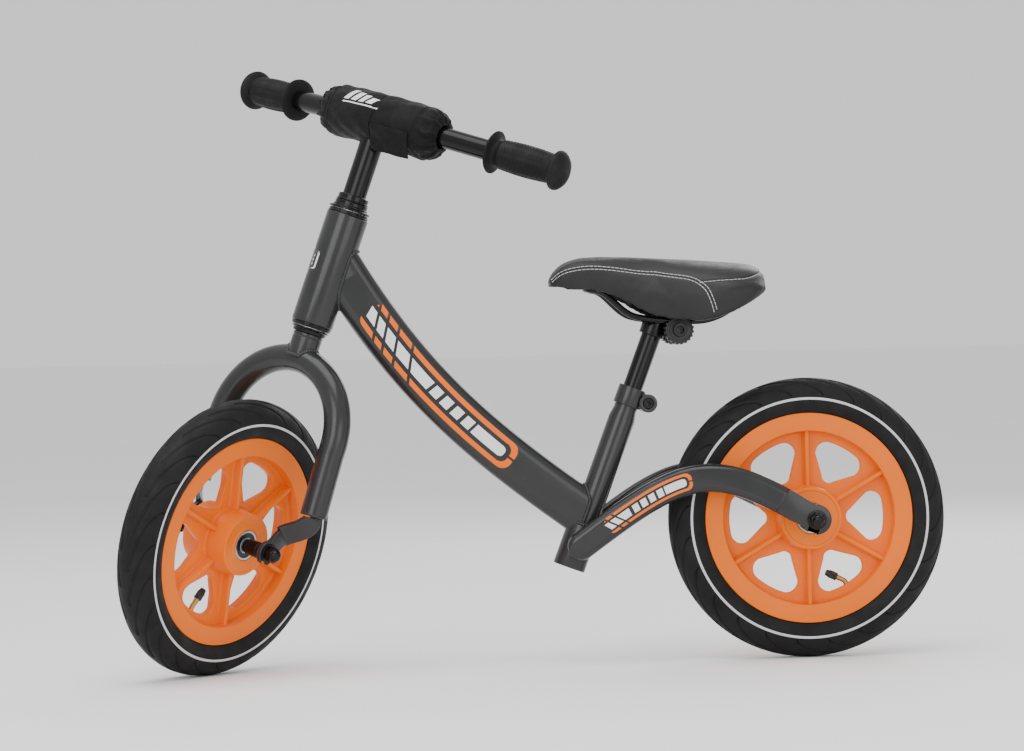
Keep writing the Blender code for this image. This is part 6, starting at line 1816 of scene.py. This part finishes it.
def clamp():
    """Toothed discs, the bolt's heads and the band round the post."""
    steps = 192
    turn = np.linspace(0, math.tau, steps, endpoint=False)
    inner = CLAMP_EAR_HALF_WIDTH + RUN_GAP
    outer = CLAMP_DISC_OUTER
    rows = []
    profile = (
        (0.0045, inner, 0), (CLAMP_DISC_RADIUS - 0.0030, inner, 0), (CLAMP_DISC_RADIUS - 0.0002,
                                                                     inner + 0.0015, 1),
        (CLAMP_DISC_RADIUS, inner + 0.0020, 1), (CLAMP_DISC_RADIUS, outer - 0.0022, 1),
        (CLAMP_DISC_RADIUS - 0.0006, outer - 0.0012, 1), (CLAMP_DISC_RADIUS - 0.0018, outer - 0.0006, 0),
        (CLAMP_DISC_RADIUS - 0.0030, outer - 0.0004, 0), (CLAMP_DISC_RADIUS - 0.0034, outer - 0.0011, 0),
        (CLAMP_DISC_RADIUS - 0.0050, outer - 0.0011, 0), (CLAMP_DISC_RADIUS - 0.0054, outer - 0.0002, 0),
        (0.0092, outer, 0), (0.0045, outer, 0))
    for radius, height, toothed in profile:
        r = radius - 0.0011 * toothed * (0.5 + 0.5 * np.clip(np.cos(turn * 20) * 2.2, -1, 1))
        rows.append(np.stack([r * np.cos(turn), r * np.sin(turn), np.full(steps, height)], -1))
    disc = grid(rows, closed=True)
    for side, word in ((1, "left"), (-1, "right")):
        piece("clamp_disc_" + word, disc.copy(), "black_plastic", "saddle", ("rail_clamp_" + word,),
              TILT @ turned("X", -90 * side))
    seat = outer + TOUCH_GAP
    heads = []
    for side in (1, -1):
        heads.append((socket_screw(CLAMP_HEAD_RADIUS, seat, CLAMP_HEAD_HEIGHT), turned("X", -90 * side)))
    shank = lathe([(0.0001, -seat), (0.0038, -seat), (0.0038, seat), (0.0001, seat)], 32)
    piece("clamp_screw", joined(heads + [(shank, ALONG_Y)]), "black_metal", "saddle",
          ("saddle_clamp_bolt",), TILT)
    bore = SEAT_POST_RADIUS + TOUCH_GAP
    low, high = TILT_HEIGHT - 0.0150, TILT_HEIGHT + 0.0030
    band = lathe([(bore, low), (bore + 0.0030, low), (bore + 0.0030, high), (bore, high)], 96, 0.0008)
    ear = lathe([(0.0042, -CLAMP_EAR_HALF_WIDTH), (CLAMP_EAR_RADIUS, -CLAMP_EAR_HALF_WIDTH),
                 (CLAMP_EAR_RADIUS, CLAMP_EAR_HALF_WIDTH), (0.0042, CLAMP_EAR_HALF_WIDTH)], 96, 0.0012)
    web = prism([(-TILT_SET_BACK + 0.004, -0.0110), (-bore - 0.0004, -0.0090), (-bore - 0.0004, 0.0090),
                 (-TILT_SET_BACK + 0.004, 0.0110)], TILT_HEIGHT - 0.0090, TILT_HEIGHT + 0.0028, 0.0010)
    piece("clamp_band",
          joined([(band, None), (ear, moved(-TILT_SET_BACK, 0, TILT_HEIGHT) @ ALONG_Y), (web, None)]),
          "black_metal", "seat_post", ("saddle_clamp",), POST)
    wall = SEAT_POST_RADIUS - 0.0016
    post = [(SEAT_POST_RADIUS, SEAT_POST_TOP), (SEAT_POST_RADIUS, -0.1700), (wall, -0.1700),
            (wall, SEAT_POST_TOP)]
    piece("post", lathe(post, 96, 0.0005), "black_metal", "seat_post", ("seat_post",), POST)


# ---------------------------------------------------------------- what stays of the CAD
def dress_cad_nodes():
    """Give every CAD node that still shows its own finish."""
    slots = {}
    for row in frame["record"]["materials"]:
        for node in row.get("nodes", row.get("components", [])):
            slots[node] = row["slot"]
    for name, shown in frame["nodes"].items():
        if shown.hide_render:
            continue
        look = slots.get(name)
        if look is None:
            look = "bare_steel" if any(word in name for word in ("axle", "balls", "wedge")) else "tyre_rubber"
            look = "black_metal" if "bolt" in name else look
        for material_slot in shown.material_slots:
            material_slot.material = LOOKS[look]


# ---------------------------------------------------------------- studio
def studio():
    floor_mesh = grid([[(-40, -40, 0), (40, -40, 0)], [(-40, 40, 0), (40, 40, 0)]], around=False)
    floor = bpy.data.objects.new("floor", floor_mesh)
    bpy.context.collection.objects.link(floor)
    paper = Surface("floor_paper", specular=0.2)
    paper.colours(paper.noise(1.5, 3.0), [(0.3, (0.915, 0.915, 0.915)), (0.7, (0.93, 0.93, 0.93))])
    paper.gloss(paper.noise(3.0, 2.0), 0.60, 0.70)
    floor.data.materials.append(paper.material)
    world = bpy.data.worlds.new("studio")
    bpy.context.scene.world = world
    world.use_nodes = True
    world.node_tree.nodes["Background"].inputs["Color"].default_value = (1.0, 1.0, 1.0, 1.0)
    world.node_tree.nodes["Background"].inputs["Strength"].default_value = 0.95
    for name, spot, size, power in (("top_softbox", (0.5, 0.6, 2.6), (2.6, 1.6), 46.0),
                                    ("front_softbox", (1.6, 2.6, 1.5), (1.6, 1.8), 34.0),
                                    ("back_softbox", (-1.4, -2.2, 1.8), (1.6, 1.6), 26.0),
                                    ("low_fill", (-1.2, 2.6, 0.7), (1.6, 1.2), 14.0)):
        data = bpy.data.lights.new(name, "AREA")
        data.shape = "RECTANGLE"
        data.size, data.size_y = size
        data.energy = power
        lamp = bpy.data.objects.new(name, data)
        bpy.context.collection.objects.link(lamp)
        lamp.location = spot
        aim = Vector((0, 0, 0.3)) - Vector(spot)
        lamp.rotation_euler = aim.to_track_quat("-Z", "Y").to_euler()


def camera():
    """The product view: from the left, a little behind square, with a long lens."""
    swing, lift, roll = math.radians(6.08), math.radians(0.76), math.radians(-1.28)
    ahead = Vector((-math.sin(swing) * math.cos(lift), -math.cos(swing) * math.cos(lift), -math.sin(lift)))
    right = Vector((-math.cos(swing), math.sin(swing), 0))
    up = right.cross(ahead)
    right, up = right * math.cos(roll) + up * math.sin(roll), up * math.cos(roll) - right * math.sin(roll)
    target = Vector((0.0205, CENTRE_PLANE_Y, 0.3097))
    spot = target - ahead * 4.025
    data = bpy.data.cameras.new("camera")
    data.sensor_width = 36.0
    data.lens = 132.7
    data.clip_end = 60.0
    made = bpy.data.objects.new("camera", data)
    bpy.context.collection.objects.link(made)
    matrix = Matrix((right, up, -ahead)).transposed().to_4x4()
    matrix.translation = spot
    made.matrix_world = matrix
    bpy.context.scene.camera = made


camera()
studio()
wheels()
axle_fittings()
main_tube()
head_and_seat_tubes()
seat_collar()
stays()
fork()
headset()
handlebar()
bar_pad()
saddle()
rails()
clamp()
dress_cad_nodes()
